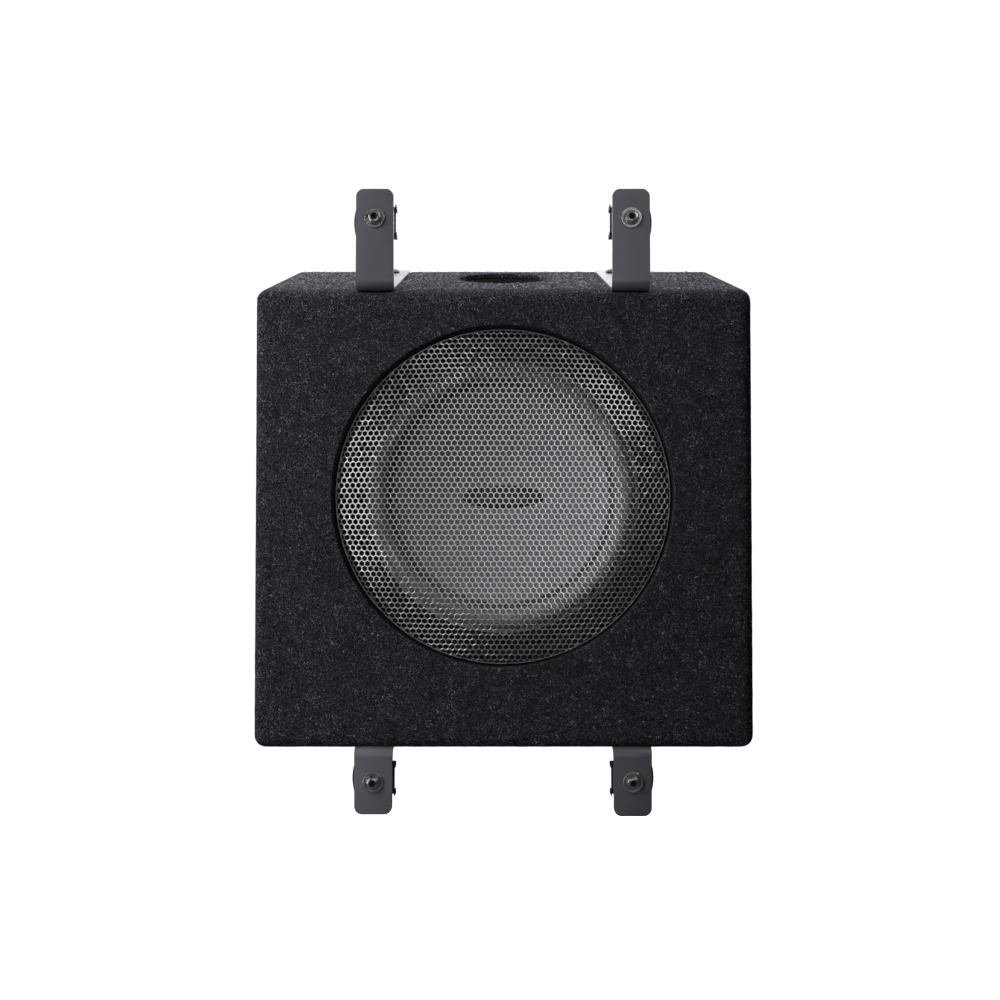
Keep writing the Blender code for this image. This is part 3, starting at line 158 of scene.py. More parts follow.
class Surface:
    """A node material whose methods return sockets, so that patterns can be nested."""

    def __init__(self, name, roughness, metallic=0.0, **uniform):
        self.material = FINISHES[name] = bpy.data.materials.new(name)
        self.material.use_nodes = True
        self.tree = self.material.node_tree
        self.shader = self.tree.nodes["Principled BSDF"]
        uniform |= {"Roughness": roughness, "Metallic": metallic}
        for key, value in uniform.items():
            self.shader.inputs[key.replace("_", " ")].default_value = value
        self.place = self.node("ShaderNodeTexCoord").outputs["Object"]

    def feed(self, node, key, value):
        """Link a socket to a node's input, or set the input to a value."""
        if isinstance(value, bpy.types.NodeSocket):
            self.tree.links.new(value, node.inputs[key])
        else:
            node.inputs[key].default_value = value

    def node(self, kind, inputs=None, **settings):
        node = self.tree.nodes.new(kind)
        for key, value in settings.items():
            setattr(node, key, value)
        for key, value in (inputs or {}).items():
            self.feed(node, key, value)
        return node

    def noise(self, size, detail=2.0, place=None, output="Fac"):
        """Cloudy pattern from 0 to 1 whose lumps are about as large as size."""
        inputs = {"Vector": place or self.place, "Scale": 1.0 / size, "Detail": detail}
        return self.node("ShaderNodeTexNoise", inputs).outputs[output]

    def cells(self, size, feature="F1"):
        inputs = {"Vector": self.place, "Scale": 1.0 / size}
        return self.node("ShaderNodeTexVoronoi", inputs, feature=feature).outputs["Distance"]

    def waves(self, size, direction):
        inputs = {"Vector": self.place, "Scale": 0.314 / size, "Distortion": 0.4}
        return self.node("ShaderNodeTexWave", inputs, bands_direction=direction).outputs["Fac"]

    def turned(self, rotation, sizes, place=None):
        """Coordinates turned by Euler angles and measured in the given sizes."""
        inputs = {"Vector": place or self.place, "Rotation": rotation, "Scale": sizes}
        return self.node("ShaderNodeMapping", inputs, vector_type="TEXTURE").outputs["Vector"]

    def ramp(self, value, low, high, to_low=0.0, to_high=1.0):
        inputs = {0: value, 1: low, 2: high, 3: to_low, 4: to_high}
        return self.node("ShaderNodeMapRange", inputs).outputs["Result"]

    def math(self, operation, first, second):
        return self.node("ShaderNodeMath", {0: first, 1: second}, operation=operation).outputs[0]

    def vector(self, operation, inputs):
        return self.node("ShaderNodeVectorMath", inputs, operation=operation).outputs[0]

    def mix(self, share, first, second):
        """Blend two colours, each a socket or three numbers."""
        node = self.node("ShaderNodeMix", {"Factor": share}, data_type="RGBA")
        for key, value in ((6, first), (7, second)):
            self.feed(node, key, (*value, 1.0) if isinstance(value, tuple) else value)
        return node.outputs[2]

    def painted_light_drift(self, low, high, share, shaded_tones, lit_tones):
        """Painted light and shade: a mix of two colours, shaded towards the upper left and paler,
        as if lit, towards the lower right.
        """
        across = self.node("ShaderNodeSeparateXYZ", {"Vector": self.place}).outputs
        drift = self.ramp(self.math("SUBTRACT", across["X"], across["Z"]), low, high)
        return self.mix(drift, self.mix(share, *shaded_tones), self.mix(share, *lit_tones))

    def finish(self, color, height, relief, strength=1.0, roughness=None):
        """Link the colour, a bump that is relief metres high and perhaps the roughness."""
        inputs = {"Height": height, "Distance": relief, "Strength": strength}
        self.feed(self.shader, "Normal", self.node("ShaderNodeBump", inputs).outputs["Normal"])
        self.feed(self.shader, "Base Color", color)
        if roughness:
            self.feed(self.shader, "Roughness", roughness)


def scaled(color, factor):
    return tuple(factor * value for value in color)


def plain_finish(name, color, roughness, metallic=0.0, grain=0.0004, relief=0.00003, **uniform):
    """A paint or plastic: faint mottling, an uneven gloss and a fine moulded grain."""
    surface = Surface(name, roughness, metallic, **uniform)
    tone = surface.mix(surface.noise(0.018, 3.0), scaled(color, 0.86), scaled(color, 1.14))
    gloss = surface.ramp(surface.noise(0.006), 0.3, 0.7, roughness - 0.05, roughness + 0.06)
    surface.finish(tone, surface.noise(grain), relief, 0.6, gloss)


def brushed_finish(name, color, roughness, turn):
    """Drawn or turned metal: long fine scratches in one direction."""
    surface = Surface(name, roughness, 1.0)
    lying = surface.turned((0.0, 0.0, turn), (0.012, 0.0002, 0.0002))
    scratches = surface.noise(1.0, 3.0, lying)
    tone = surface.mix(scratches, scaled(color, 0.75), scaled(color, 1.2))
    gloss = surface.ramp(scratches, 0.3, 0.7, roughness - 0.06, roughness + 0.10)
    surface.finish(tone, scratches, 0.00001, 0.5, gloss)


def felt_finish():
    """Needle felt: a dark mat with pale fibres that lie in every direction."""
    surface = Surface("needle_felt", 1.0, Specular_IOR_Level=0.10)
    drift = surface.noise(1.0 / 230.0, 1.0, output="Color")
    centred = surface.vector("SUBTRACT", {0: drift, 1: (0.5, 0.5, 0.5)})
    shift = surface.vector("SCALE", {0: centred, "Scale": 0.0050})
    swirled = surface.vector("ADD", {0: surface.place, 1: shift})
    turns = (
        (0.2, 0.8, 0.3), (1.1, -0.7, 2.0), (0.5, 0.1, 1.2),
        (2.2, 1.3, 0.4), (0.9, -1.4, 2.6), (1.7, 0.4, -0.8),
    )
    strands = 0.0
    for rotation in turns:
        lying = surface.turned(rotation, (0.0024, 0.00056, 0.00056), swirled)
        strand = surface.ramp(surface.noise(1.0, 1.0, lying), 0.66, 0.75)
        strands = surface.math("MAXIMUM", strands, strand)
    mottle = surface.noise(0.0019, 3.0, swirled)
    patches = surface.ramp(surface.noise(0.009), 0.3, 0.7, 0.55, 1.25)
    tone = surface.ramp(mottle, 0.30, 0.70)
    mat = surface.mix(tone, (0.004, 0.004, 0.005), (0.030, 0.029, 0.037))
    pale = surface.math("MULTIPLY", surface.math("MULTIPLY", strands, patches), 0.8)
    height = surface.math("ADD", surface.math("MULTIPLY", strands, 0.7), mottle)
    surface.finish(surface.mix(pale, mat, (0.50, 0.49, 0.59)), height, 0.0006)


def fibre_finish():
    """Loose felt fibres: dark ones, grey ones and a few nearly white ones."""
    surface = Surface("felt_fibres", 0.8)
    dyed = surface.ramp(surface.noise(0.0030, 1.0), 0.44, 0.58)
    tone = surface.mix(dyed, (0.010, 0.010, 0.013), (0.50, 0.49, 0.58))
    surface.finish(tone, surface.noise(0.0002, 1.0), 0.00002, 0.5)


def grille_finish():
    """Bare-looking steel under a thin satin lacquer."""
    surface = Surface("grille_steel", 0.30, 1.0)
    tone = surface.mix(surface.noise(0.020, 3.0), (0.63, 0.62, 0.655), (0.80, 0.785, 0.825))
    grain = surface.noise(0.0003)
    surface.finish(tone, grain, 0.00002, 0.5, surface.ramp(grain, 0.3, 0.7, 0.27, 0.36))


def cone_finish():
    """Pressed composite: a satin grey skin over fine fibres that cross, with painted shade to the
    upper left and painted light to the lower right.
    """
    surface = Surface("cone_composite", 0.40, 0.40)
    sizes = (0.0018, 0.0004, 0.0004)
    lying = [surface.turned((0.0, turn, 0.0), sizes) for turn in (0.7, -0.8)]
    sets = [surface.noise(1.0, 2.0, place) for place in lying]
    fibres = surface.math("MAXIMUM", *sets)
    shaded_tones = (0.155, 0.153, 0.163), (0.21, 0.208, 0.222)
    lit_tones = (0.33, 0.327, 0.348), (0.43, 0.427, 0.453)
    # Painted light and shade: the tone grows paler towards the lower right.
    tone = surface.painted_light_drift(-0.066, 0.078, surface.ramp(fibres, 0.45, 0.7), shaded_tones, lit_tones)
    gloss = surface.ramp(surface.noise(0.010), 0.3, 0.7, 0.38, 0.50)
    surface.finish(tone, fibres, 0.00005, 0.5, gloss)


def rubber_finish():
    """Surround rubber: satin, with painted light that makes it paler towards the lower right and
    painted shade towards the upper left.
    """
    surface = Surface("surround_rubber", 0.50)
    shaded_tones = (0.040, 0.040, 0.042), (0.055, 0.055, 0.058)
    lit_tones = (0.27, 0.265, 0.28), (0.33, 0.325, 0.345)
    # Painted light and shade: the tone grows paler towards the lower right.
    tone = surface.painted_light_drift(-0.10, 0.08, surface.noise(0.018, 3.0), shaded_tones, lit_tones)
    surface.finish(tone, surface.noise(0.0008), 0.00003, 0.6)


def board_finish(name, dark, pale):
    """Wood-fibre board: a fine speckle of darker and paler fibres."""
    surface = Surface(name, 0.85)
    speckle = surface.noise(0.0007, 4.0)
    cloud = surface.math("MULTIPLY", surface.noise(0.030), 0.3)
    blended = surface.math("ADD", surface.math("MULTIPLY", speckle, 0.7), cloud)
    tone = surface.mix(surface.ramp(blended, 0.35, 0.65), dark, pale)
    surface.finish(tone, speckle, 0.0001, 0.6)


def cloth_finish():
    """Woven cloth: two sets of threads that cross."""
    surface = Surface("spider_cloth", 0.9, Sheen_Weight=0.2)
    threads = surface.math("MAXIMUM", surface.waves(0.0007, "X"), surface.waves(0.0007, "Z"))
    stained = surface.math("MULTIPLY", threads, surface.noise(0.010))
    tone = surface.mix(stained, (0.22, 0.13, 0.04), (0.62, 0.46, 0.20))
    surface.finish(tone, threads, 0.0002, 0.8)


def coil_finish():
    """Turns of enamelled copper wire, one beside the next."""
    surface = Surface("coil_copper", 0.3, 0.9)
    turns = surface.waves(0.0003, "Y")
    surface.finish(surface.mix(turns, (0.20, 0.06, 0.02), (0.62, 0.25, 0.12)), turns, 0.0001, 0.8)


def circuit_finish():
    """Green solder mask over copper tracks that show as paler lines, with tinned pads."""
    surface = Surface("circuit", 0.35)
    tracks = surface.ramp(surface.cells(0.004, "DISTANCE_TO_EDGE"), 0.03, 0.09, 1.0, 0.0)
    pads = surface.ramp(surface.cells(0.0035), 0.20, 0.26, 1.0, 0.0)
    mask = surface.mix(tracks, (0.006, 0.060, 0.022), (0.020, 0.120, 0.045))
    raised = surface.math("MAXIMUM", tracks, pads)
    surface.finish(surface.mix(pads, mask, (0.45, 0.45, 0.43)), raised, 0.00005, 0.7)


def lens_finish():
    """A clear coloured lamp lens with a frosted, uneven core."""
    surface = Surface("led_lens", 0.12, Transmission_Weight=0.35, IOR=1.49)
    frost = surface.noise(0.0009, 3.0)
    surface.finish(surface.mix(frost, (0.05, 0.13, 0.42), (0.25, 0.42, 0.85)), frost, 0.00003, 0.4)


# Each plain finish: colour, roughness, metallic share, size of the grain, its relief.
PLAIN = {
    # The four strap paints are one paint in lighter and darker copies: painted light and shade for
    # each corner.
    "strap_steel": ((0.106, 0.099, 0.117), 0.40, 0.15, 0.0005, 0.00004),
    "strap_steel_2": ((0.138, 0.130, 0.151), 0.40, 0.15, 0.0005, 0.00004),
    "strap_steel_3": ((0.160, 0.151, 0.173), 0.40, 0.15, 0.0005, 0.00004),
    "strap_steel_4": ((0.118, 0.111, 0.130), 0.40, 0.15, 0.0005, 0.00004),
    "bolt_steel": ((0.36, 0.36, 0.37), 0.30, 1.0, 0.0009, 0.000002),
    # The flange finishes are lighter copies of the bolt steel: painted reflections, the top right
    # one a near-white painted glint.
    "flange_steel_painted_reflection": ((0.50, 0.50, 0.52), 0.30, 1.0, 0.0009, 0.000002),
    "flange_steel_painted_glint": ((0.97, 0.97, 0.97), 0.30, 1.0, 0.0009, 0.000002),
    # The socket finish is near black: painted shade deep in the socket.
    "socket_steel_painted_shade": ((0.020, 0.020, 0.021), 0.60, 0.3, 0.0005, 0.00002),
    "clamp_steel": ((0.034, 0.033, 0.037), 0.45, 0.1),
    "black_screws": ((0.010, 0.010, 0.011), 0.50, 0.2, 0.0003),
    "badge_plastic": ((0.012, 0.012, 0.013), 0.30, 0.0, 0.002, 0.00001),
    "surround_glue": ((0.13, 0.13, 0.135), 0.60, 0.0, 0.0008),
    "basket_steel": ((0.010, 0.010, 0.011), 0.60, 0.1),
    "ring_plastic": ((0.008, 0.008, 0.009), 0.60),
    "port_plastic": ((0.010, 0.010, 0.012), 0.85, 0.0, 0.0010),
    "connector_plastic": ((0.014, 0.014, 0.015), 0.42, 0.0, 0.0003),
    "knob_plastic": ((0.020, 0.020, 0.021), 0.50, 0.0, 0.0003),
    "mark_paint": ((0.75, 0.75, 0.73), 0.55, 0.0, 0.0006),
    "amp_aluminium": ((0.028, 0.028, 0.030), 0.40, 0.5, 0.0004, 0.00005),
    "socket_red": ((0.42, 0.02, 0.02), 0.35, 0.0, 0.0005),
    "socket_white": ((0.70, 0.70, 0.68), 0.35, 0.0, 0.0005),
    "ferrite": ((0.040, 0.038, 0.037), 0.70, 0.0, 0.0006, 0.0001),
    "tag_board": ((0.16, 0.075, 0.025), 0.5, 0.0, 0.0008),
    "lead_rubber": ((0.015, 0.015, 0.016), 0.5, 0.0, 0.0008),
}
for finish_name, recipe in PLAIN.items():
    plain_finish(finish_name, *recipe)
plain_finish("fuse_plastic", (0.78, 0.20, 0.02), 0.22, relief=0.00001, Transmission_Weight=0.25)
brushed_finish("nickel", (0.70, 0.69, 0.66), 0.22, pi / 2)
brushed_finish("brass", (0.72, 0.52, 0.24), 0.28, 0.0)
brushed_finish("zinc_steel", (0.55, 0.55, 0.58), 0.32, 0.3)
board_finish("mdf", (0.25, 0.16, 0.085), (0.46, 0.33, 0.20))
board_finish("mdf_black", (0.006, 0.006, 0.006), (0.020, 0.020, 0.020))
board_finish("gasket_foam", (0.010, 0.010, 0.011), (0.035, 0.035, 0.037))
felt_finish()
fibre_finish()
grille_finish()
cone_finish()
rubber_finish()
cloth_finish()
coil_finish()
circuit_finish()
lens_finish()


# ---- shaping tools ------------------------------------------------------------------------
def as_object(name, shape, sharp_degrees=32.0):
    """Turn a bmesh into an object, smooth where its faces meet at a small angle."""
    mesh = bpy.data.meshes.new(name)
    shape.to_mesh(mesh)
    shape.free()
    mesh.shade_smooth()
    mesh.set_sharp_from_angle(angle=radians(sharp_degrees))
    obj = bpy.data.objects.new(name, mesh)
    bpy.context.scene.collection.objects.link(obj)
    return obj


def piece(name, shape, finish, node, body=BODY, sharp_degrees=32.0):
    """Make a shape the visible form of a CAD node. Further finishes go in by face number."""
    obj = as_object(name, shape, sharp_degrees)
    finishes = finish if isinstance(finish, tuple) else (finish,)
    for one in finishes:
        obj.data.materials.append(FINISHES[one])
    if body:
        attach(obj, body)
    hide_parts(node)
    return obj


def joined(*shapes):
    """All shapes in the first one."""
    whole = shapes[0]
    for extra in shapes[1:]:
        mesh = bpy.data.meshes.new("joined")
        extra.to_mesh(mesh)
        extra.free()
        whole.from_mesh(mesh)
        bpy.data.meshes.remove(mesh)
    return whole


def painted(shape, index):
    """The same shape with its faces in another finish of its piece."""
    for face in shape.faces:
        face.material_index = index
    return shape


def moved(shape, matrix):
    bmesh.ops.transform(shape, matrix=matrix, verts=shape.verts)
    return shape


def cuboid(sizes):
    shape = bmesh.new()
    bmesh.ops.create_cube(shape, size=1.0)
    return moved(shape, Matrix.Diagonal((*sizes, 1.0)))


def combined(shape, tools):
    """Cut tools from a shape for good."""
    obj = as_object("combined", shape)
    helpers = [as_object("tool", tool) for tool in tools]
    for helper in helpers:
        modifier = obj.modifiers.new("cut", "BOOLEAN")
        modifier.operation = "DIFFERENCE"
        modifier.object = helper
    graph = bpy.context.evaluated_depsgraph_get()
    mesh = bpy.data.meshes.new_from_object(obj.evaluated_get(graph))
    result = bmesh.new()
    result.from_mesh(mesh)
    bpy.data.meshes.remove(mesh)
    for helper in [obj] + helpers:
        used = helper.data
        bpy.data.objects.remove(helper)
        bpy.data.meshes.remove(used)
    return result


def rounded(points, radius, closed=False, steps=4):
    """Round the corners of a line of flat points, as far as its straight parts allow."""
    result = []
    for index, point in enumerate(points):
        if not closed and index in (0, len(points) - 1):
            result.append(tuple(point))
            continue
        here = Vector(point)
        before = Vector(points[index - 1]) - here
        after = Vector(points[(index + 1) % len(points)]) - here
        tangent = radius / tan(before.angle(after) / 2)
        reach = min(tangent, 0.45 * before.length, 0.45 * after.length)
        start = here + before.normalized() * reach
        end = here + after.normalized() * reach
        for step in range(steps + 1):
            share = step / steps
            corner = start.lerp(here, share).lerp(here.lerp(end, share), share)
            result.append(tuple(corner))
    return result


def arc(centre, radius, start_deg, end_deg, steps):
    """Points along an arc, both ends included."""
    step = radians(end_deg - start_deg) / steps
    turns = [radians(start_deg) + step * index for index in range(steps + 1)]
    return [(centre[0] + radius * cos(turn), centre[1] + radius * sin(turn)) for turn in turns]


def thick_line(points, thickness):
    """The closed section of a sheet whose front follows a (radius, y) line, outwards first."""
    rear = []
    for index, (radius, y) in enumerate(points):
        before = Vector(points[max(index - 1, 0)])
        after = Vector(points[min(index + 1, len(points) - 1)])
        along = (after - before).normalized()
        rear.append((radius - along.y * thickness, y + along.x * thickness))
    return list(points) + rear[::-1]


def bridged(shape, rings):
    """Faces between each ring of corners and the next. A ring of one corner is a point."""
    for first, second in zip(rings, rings[1:]):
        count = max(len(first), len(second))
        for index in range(count):
            after = (index + 1) % count
            corners = [first[index % len(first)], first[after % len(first)]]
            corners += [second[after % len(second)], second[index % len(second)]]
            corners = list(dict.fromkeys(corners))
            if len(corners) > 2:
                shape.faces.new(corners)


def skinned(shape, rings, closed=False, capped=False):
    """The same as bridged, all the way round or with end faces, and facing outwards."""
    bridged(shape, rings + rings[:1] if closed else rings)
    if capped:
        shape.faces.new(rings[0])
        shape.faces.new(rings[-1])
    bmesh.ops.recalc_face_normals(shape, faces=shape.faces)
    return shape


def corners_at(shape, points):
    return [shape.verts.new(point) for point in points]


def angles(count):
    return [2.0 * pi * index / count for index in range(count)]


def turned(profile, segments=96, closed=False, centre=(0.0, 0.0), ripple=None):
    """Spin a profile. ripple gives an extra factor on the radius from (angle, radius, y)."""
    shape = bmesh.new()
    rings = []
    for radius, y in profile:
        ring = []
        for angle in angles(segments if radius > 0.0 else 1):
            reach = radius * (ripple(angle, radius, y) if ripple else 1.0)
            ring.append((centre[0] + reach * cos(angle), y, centre[1] + reach * sin(angle)))
        rings.append(corners_at(shape, ring))
    return skinned(shape, rings, closed)


def ring_part(points, rounding, segments, finish=0, centre=(0.0, 0.0)):
    """A ring whose section is a polygon of (radius, y) points with rounded corners."""
    section = rounded(points, rounding, closed=True)
    return painted(turned(section, segments, closed=True, centre=centre), finish)


def prism(outline, low, high, edge=0.0003, upright=False):
    """An (x, z) outline as thick as from low to high along Y, with rounded rims.

    An upright one is an (x, y) outline that stands between two heights.
    """
    shape = bmesh.new()
    layers = []
    for level in (low, high):
        spots = [(a, b, level) if upright else (a, level, b) for a, b in outline]
        layers.append(corners_at(shape, spots))
    skinned(shape, layers, capped=True)
    if edge > 0.0:
        rims = [
            line for line in shape.edges
            if any(all(vert in layer for vert in line.verts) for layer in layers)
        ]
        bmesh.ops.bevel(shape, geom=rims, offset=edge, segments=3, profile=0.5, affect="EDGES")
    return shape


def oblong(centre, half_x, half_z, corner=0.001, steps=5):
    """The outline of a rectangle with rounded corners."""
    signs = ((-1, -1), (1, -1), (1, 1), (-1, 1))
    corners = [(centre[0] + a * half_x, centre[1] + b * half_z) for a, b in signs]
    return rounded(corners, corner, closed=True, steps=steps)


def block(centre, half_x, half_z, corner, low, high, edge=0.0, finish=0):
    """A rounded rectangle in front view that reaches from low to high along Y."""
    return painted(prism(oblong(centre, half_x, half_z, corner), low, high, edge), finish)


def disc(radius, centre, low, high, segments=48):
    profile = [(0.0, low), (radius, low), (radius, high), (0.0, high)]
    return turned(profile, segments, centre=centre)


def facing(place, outward):
    """Moves a shape drawn about the origin and facing -Y to a place, facing outward."""
    turn = FORWARDS.rotation_difference(Vector(outward)).to_matrix().to_4x4()
    return Matrix.Translation(Vector(place)) @ turn


def threaded(radius, depth, pitch, start_y, end_y, segments, tip):
    """A screw thread about the Y axis, blunt or pointed at its rear end."""
    shape = bmesh.new()
    rings = [corners_at(shape, [(0.0, start_y, 0.0)])]
    rows = max(4, round((end_y - start_y) / pitch * 6))
    for row in range(rows + 1):
        y = start_y + (end_y - start_y) * row / rows
        ring = []
        for index, angle in enumerate(angles(segments)):
            phase = (y / pitch - index / segments) % 1.0
            reach = radius - depth * (1.0 - abs(2.0 * phase - 1.0))
            if row == rows:
                reach = radius * (1.0 - tip)
            ring.append((reach * cos(angle), y, reach * sin(angle)))
        rings.append(corners_at(shape, ring))
    rings.append(corners_at(shape, [(0.0, end_y, 0.0)]))
    return skinned(shape, rings)


def cross_recess(radius, depth, front_y):
    """A tapered cross, for cutting into a screw's head."""
    arms = []
    for turn in (0.0, pi / 2):
        arm = cuboid((2.0 * radius, 2.0 * depth, 0.28 * radius))
        for vert in arm.verts:
            if vert.co.y > 0.0:
                vert.co.x *= 0.55
        place = Matrix.Translation((0, front_y, 0)) @ Matrix.Rotation(turn, 4, "Y")
        arms.append(moved(arm, place))
    return arms


def pan_screw(head_radius, head_height, shank_radius, length):
    """A domed screw that faces -Y, with its seat at the origin."""
    profile = [(0.0, -head_height)]
    for x, y in arc((0.0, 0.0), 1.0, -80.0, -12.0, 6):
        profile.append((head_radius * x, head_height * y))
    profile += [(head_radius, -0.12 * head_height), (0.97 * head_radius, 0.0), (0.0, 0.0)]
    recess = cross_recess(0.42 * head_radius, 0.62 * head_height, -head_height)
    head = combined(turned(profile, 32), recess)
    shank = threaded(shank_radius, 0.22 * shank_radius, 0.0014, -0.0002, length, 14, 0.7)
    return joined(head, shank)


def driven(name, screw, place, outward, turn, node):
    """A black screw put in at a place, facing outward."""
    moved(screw, facing(place, outward) @ Matrix.Rotation(turn, 4, "Y"))
    piece(name, screw, "black_screws", node)


# ---- carpet -------------------------------------------------------------------------------
CARPET_GRID = 0.0026
LUMP_HEIGHT = 0.00012
PRESS_REACH = 0.0007
FUZZ_SEED = 11
FUZZ_MARGIN = 0.005
FUZZ_CLEARANCE = 0.002
# Each lot of fibres: how many, whether they lie on the top, most height, most thickness.
FUZZ = ((3600, True, 0.0010, 0.00017), (900, False, 0.0007, 0.00012))
NEAR_EDGE = [0.0, 0.0012, 0.0025, 0.0040, 0.0060, 0.0088]


def edge_steps(low, high):
    """Places from low to high: close together near both ends, where the edges are rounded."""
    start = low + NEAR_EDGE[-1]
    end = high - NEAR_EDGE[-1]
    count = round((end - start) / CARPET_GRID)
    middle = [start + (end - start) * index / count for index in range(1, count)]
    return [low + step for step in NEAR_EDGE] + middle + [high - step for step in NEAR_EDGE[::-1]]


def with_strap_lines(places):
    """Adds places just inside and outside the straps' edges, in the place of close ones."""
    steps = (-PRESS_REACH, 0.0, PRESS_REACH)
    sides = (-STRAP_WIDTH / 2, STRAP_WIDTH / 2)
    edges = [side * STRAP_X + half + step for side in (-1, 1) for half in sides for step in steps]
    clear = [one for one in places if all(abs(one - edge) > PRESS_REACH for edge in edges)]
    return sorted(clear + edges)


def sheared(point):
    """Slopes the top of the plain box upwards to the rear."""
    x, y, z = point
    share = (z - BOTTOM_Z) / (TOP_FRONT_Z - BOTTOM_Z)
    return Vector((x, y, z + share * (y - FRONT_Y) * tan(TOP_SLOPE)))


def softened(point):
    """Moves a point on the plain box's surface onto its rounded edge."""
    low = Vector((-BOX_HALF_WIDTH, FRONT_Y, BOTTOM_Z))
    high = Vector((BOX_HALF_WIDTH, REAR_Y, TOP_FRONT_Z))
    limits = zip(point, low, high)
    core = Vector(min(max(one, a + EDGE_RADIUS), b - EDGE_RADIUS) for one, a, b in limits)
    return core + (Vector(point) - core).normalized() * EDGE_RADIUS


def perimeter(first, second):
    """Corner-to-corner walk round a rectangle whose sides are divided at the given places."""
    walk = [(a, second[0]) for a in first[:-1]]
    walk += [(first[-1], b) for b in second[:-1]]
    walk += [(a, second[-1]) for a in reversed(first[1:])]
    walk += [(first[0], b) for b in reversed(second[1:])]
    return walk


def holed_wall(shape, first, second, place, hole, lip, rings):
    """A wall of the box with a hole: rings of faces from its perimeter in to a hem.

    place turns (a, b, depth) into a point, hole gives the hole's edge seen from a point on
    the perimeter and a distance outwards, and lip lists the hem's (outwards, depth) steps.
    """
    walk = [Vector(spot) for spot in perimeter(first, second)]
    middle = Vector((first[0] + first[-1], second[0] + second[-1])) / 2
    half = Vector((first[-1] - first[0], second[-1] - second[0])) / 2
    layers = []
    for inset in NEAR_EDGE:
        factor = Vector((1.0 - inset / half.x, 1.0 - inset / half.y))
        layers.append([middle + (spot - middle) * factor for spot in walk])
    outer = layers[-1]
    inner = [hole(spot, lip[0][0]) for spot in walk]
    for ring in range(1, rings + 1):
        layers.append([a.lerp(b, ring / rings) for a, b in zip(outer, inner)])
    made = [corners_at(shape, [softened(place(*spot, 0.0)) for spot in layer]) for layer in layers]
    for outwards, depth in lip[1:]:
        made.append(corners_at(shape, [place(*hole(spot, outwards), depth) for spot in walk]))
    skinned(shape, made)


def plain_wall(shape, first, second, place):
    grid = [corners_at(shape, [softened(place(a, b)) for b in second]) for a in first]
    for row, after in zip(grid, grid[1:]):
        for index in range(len(second) - 1):
            shape.faces.new((row[index], after[index], after[index + 1], row[index + 1]))


def round_hole(centre, radius):
    centre = Vector(centre)
    return lambda spot, outwards: centre + (spot - centre).normalized() * (radius + outwards)


def square_hole(outer_middle, outer_half, middle, half):
    def edge(spot, outwards):
        shares = [(spot[axis] - outer_middle[axis]) / outer_half[axis] for axis in (0, 1)]
        return Vector(middle[axis] + shares[axis] * (half[axis] + outwards) for axis in (0, 1))

    return edge


def hem(radius):
    """A trimmed felt edge that rolls over into its hole: (outwards, depth) steps."""
    turns = [radians(30.0 * index) for index in range(4)]
    steps = [(radius * (1.0 - sin(turn)), radius * (1.0 - cos(turn))) for turn in turns]
    return steps + [(0.0, CARPET), (0.0015, CARPET + 0.0002)]


def pressed(point):
    """Height of a carpet point after the straps' feet have been screwed down on it."""
    x, y, z = point
    beside = abs(abs(x) - STRAP_X) - STRAP_WIDTH / 2
    behind = y - STRAP_REACH_Y
    share = 1.0 - min(max(beside, behind, 0.0) / PRESS_REACH, 1.0)
    sink = STRAP_SINK + GAP
    if z > 0.0:
        return min(z, z + share * (top_z(y, sink) - z))
    return max(z, z + share * (BOTTOM_Z + sink - z))


def carpet_shape():
    xs = with_strap_lines(edge_steps(-BOX_HALF_WIDTH, BOX_HALF_WIDTH))
    ys = edge_steps(FRONT_Y, REAR_Y)
    zs = edge_steps(BOTTOM_Z, TOP_FRONT_Z)
    shape = bmesh.new()
    opening = round_hole((0.0, 0.0), OPENING_RADIUS)
    port = round_hole((0.0, PORT_Y), PORT_RADIUS)
    # The rear wall is stretched by the slope, so its window is drawn in plain-box heights.
    height = TOP_FRONT_Z - BOTTOM_Z
    stretch = 1.0 + (REAR_Y - FRONT_Y) * tan(TOP_SLOPE) / height
    window = square_hole(
        (0.0, (BOTTOM_Z + TOP_FRONT_Z) / 2), (BOX_HALF_WIDTH, height / 2),
        (0.0, BOTTOM_Z + (AMP_CENTRE_Z - BOTTOM_Z) / stretch),
        (AMP_HALF_WIDTH + GAP, (AMP_HALF_HEIGHT + GAP) / stretch),
    )
    walls = (
        (zs, lambda a, b, depth: (a, FRONT_Y + depth, b), opening, 0.0007, 26),
        (ys, lambda a, b, depth: (a, b, TOP_FRONT_Z - depth), port, 0.0008, 34),
        (zs, lambda a, b, depth: (a, REAR_Y - depth, b), window, 0.0012, 24),
    )
    for second, place, hole, hem_radius, rings in walls:
        holed_wall(shape, xs, second, place, hole, hem(hem_radius), rings)
    plain_wall(shape, xs, ys, lambda a, b: (a, b, BOTTOM_Z))
    plain_wall(shape, ys, zs, lambda a, b: (-BOX_HALF_WIDTH, a, b))
    plain_wall(shape, ys, zs, lambda a, b: (BOX_HALF_WIDTH, a, b))
    for vert in shape.verts:
        vert.co = sheared(vert.co)
        vert.co.z = pressed(vert.co)
    bmesh.ops.remove_doubles(shape, verts=shape.verts, dist=0.00001)
    bmesh.ops.recalc_face_normals(shape, faces=shape.faces)
    shape.normal_update()
    for vert in shape.verts:
        lumps = noise.noise(vert.co * 140.0) + 0.7 * noise.noise(vert.co * 420.0)
        vert.co += vert.normal * (LUMP_HEIGHT * lumps)
        outermost = max(0.0, abs(vert.co.x) - OPENING_RADIUS) / (BOX_HALF_WIDTH - OPENING_RADIUS)
        vert.co.x += (FLANK_BULGE if vert.co.x > 0.0 else -LEFT_BULGE) * outermost
    return shape


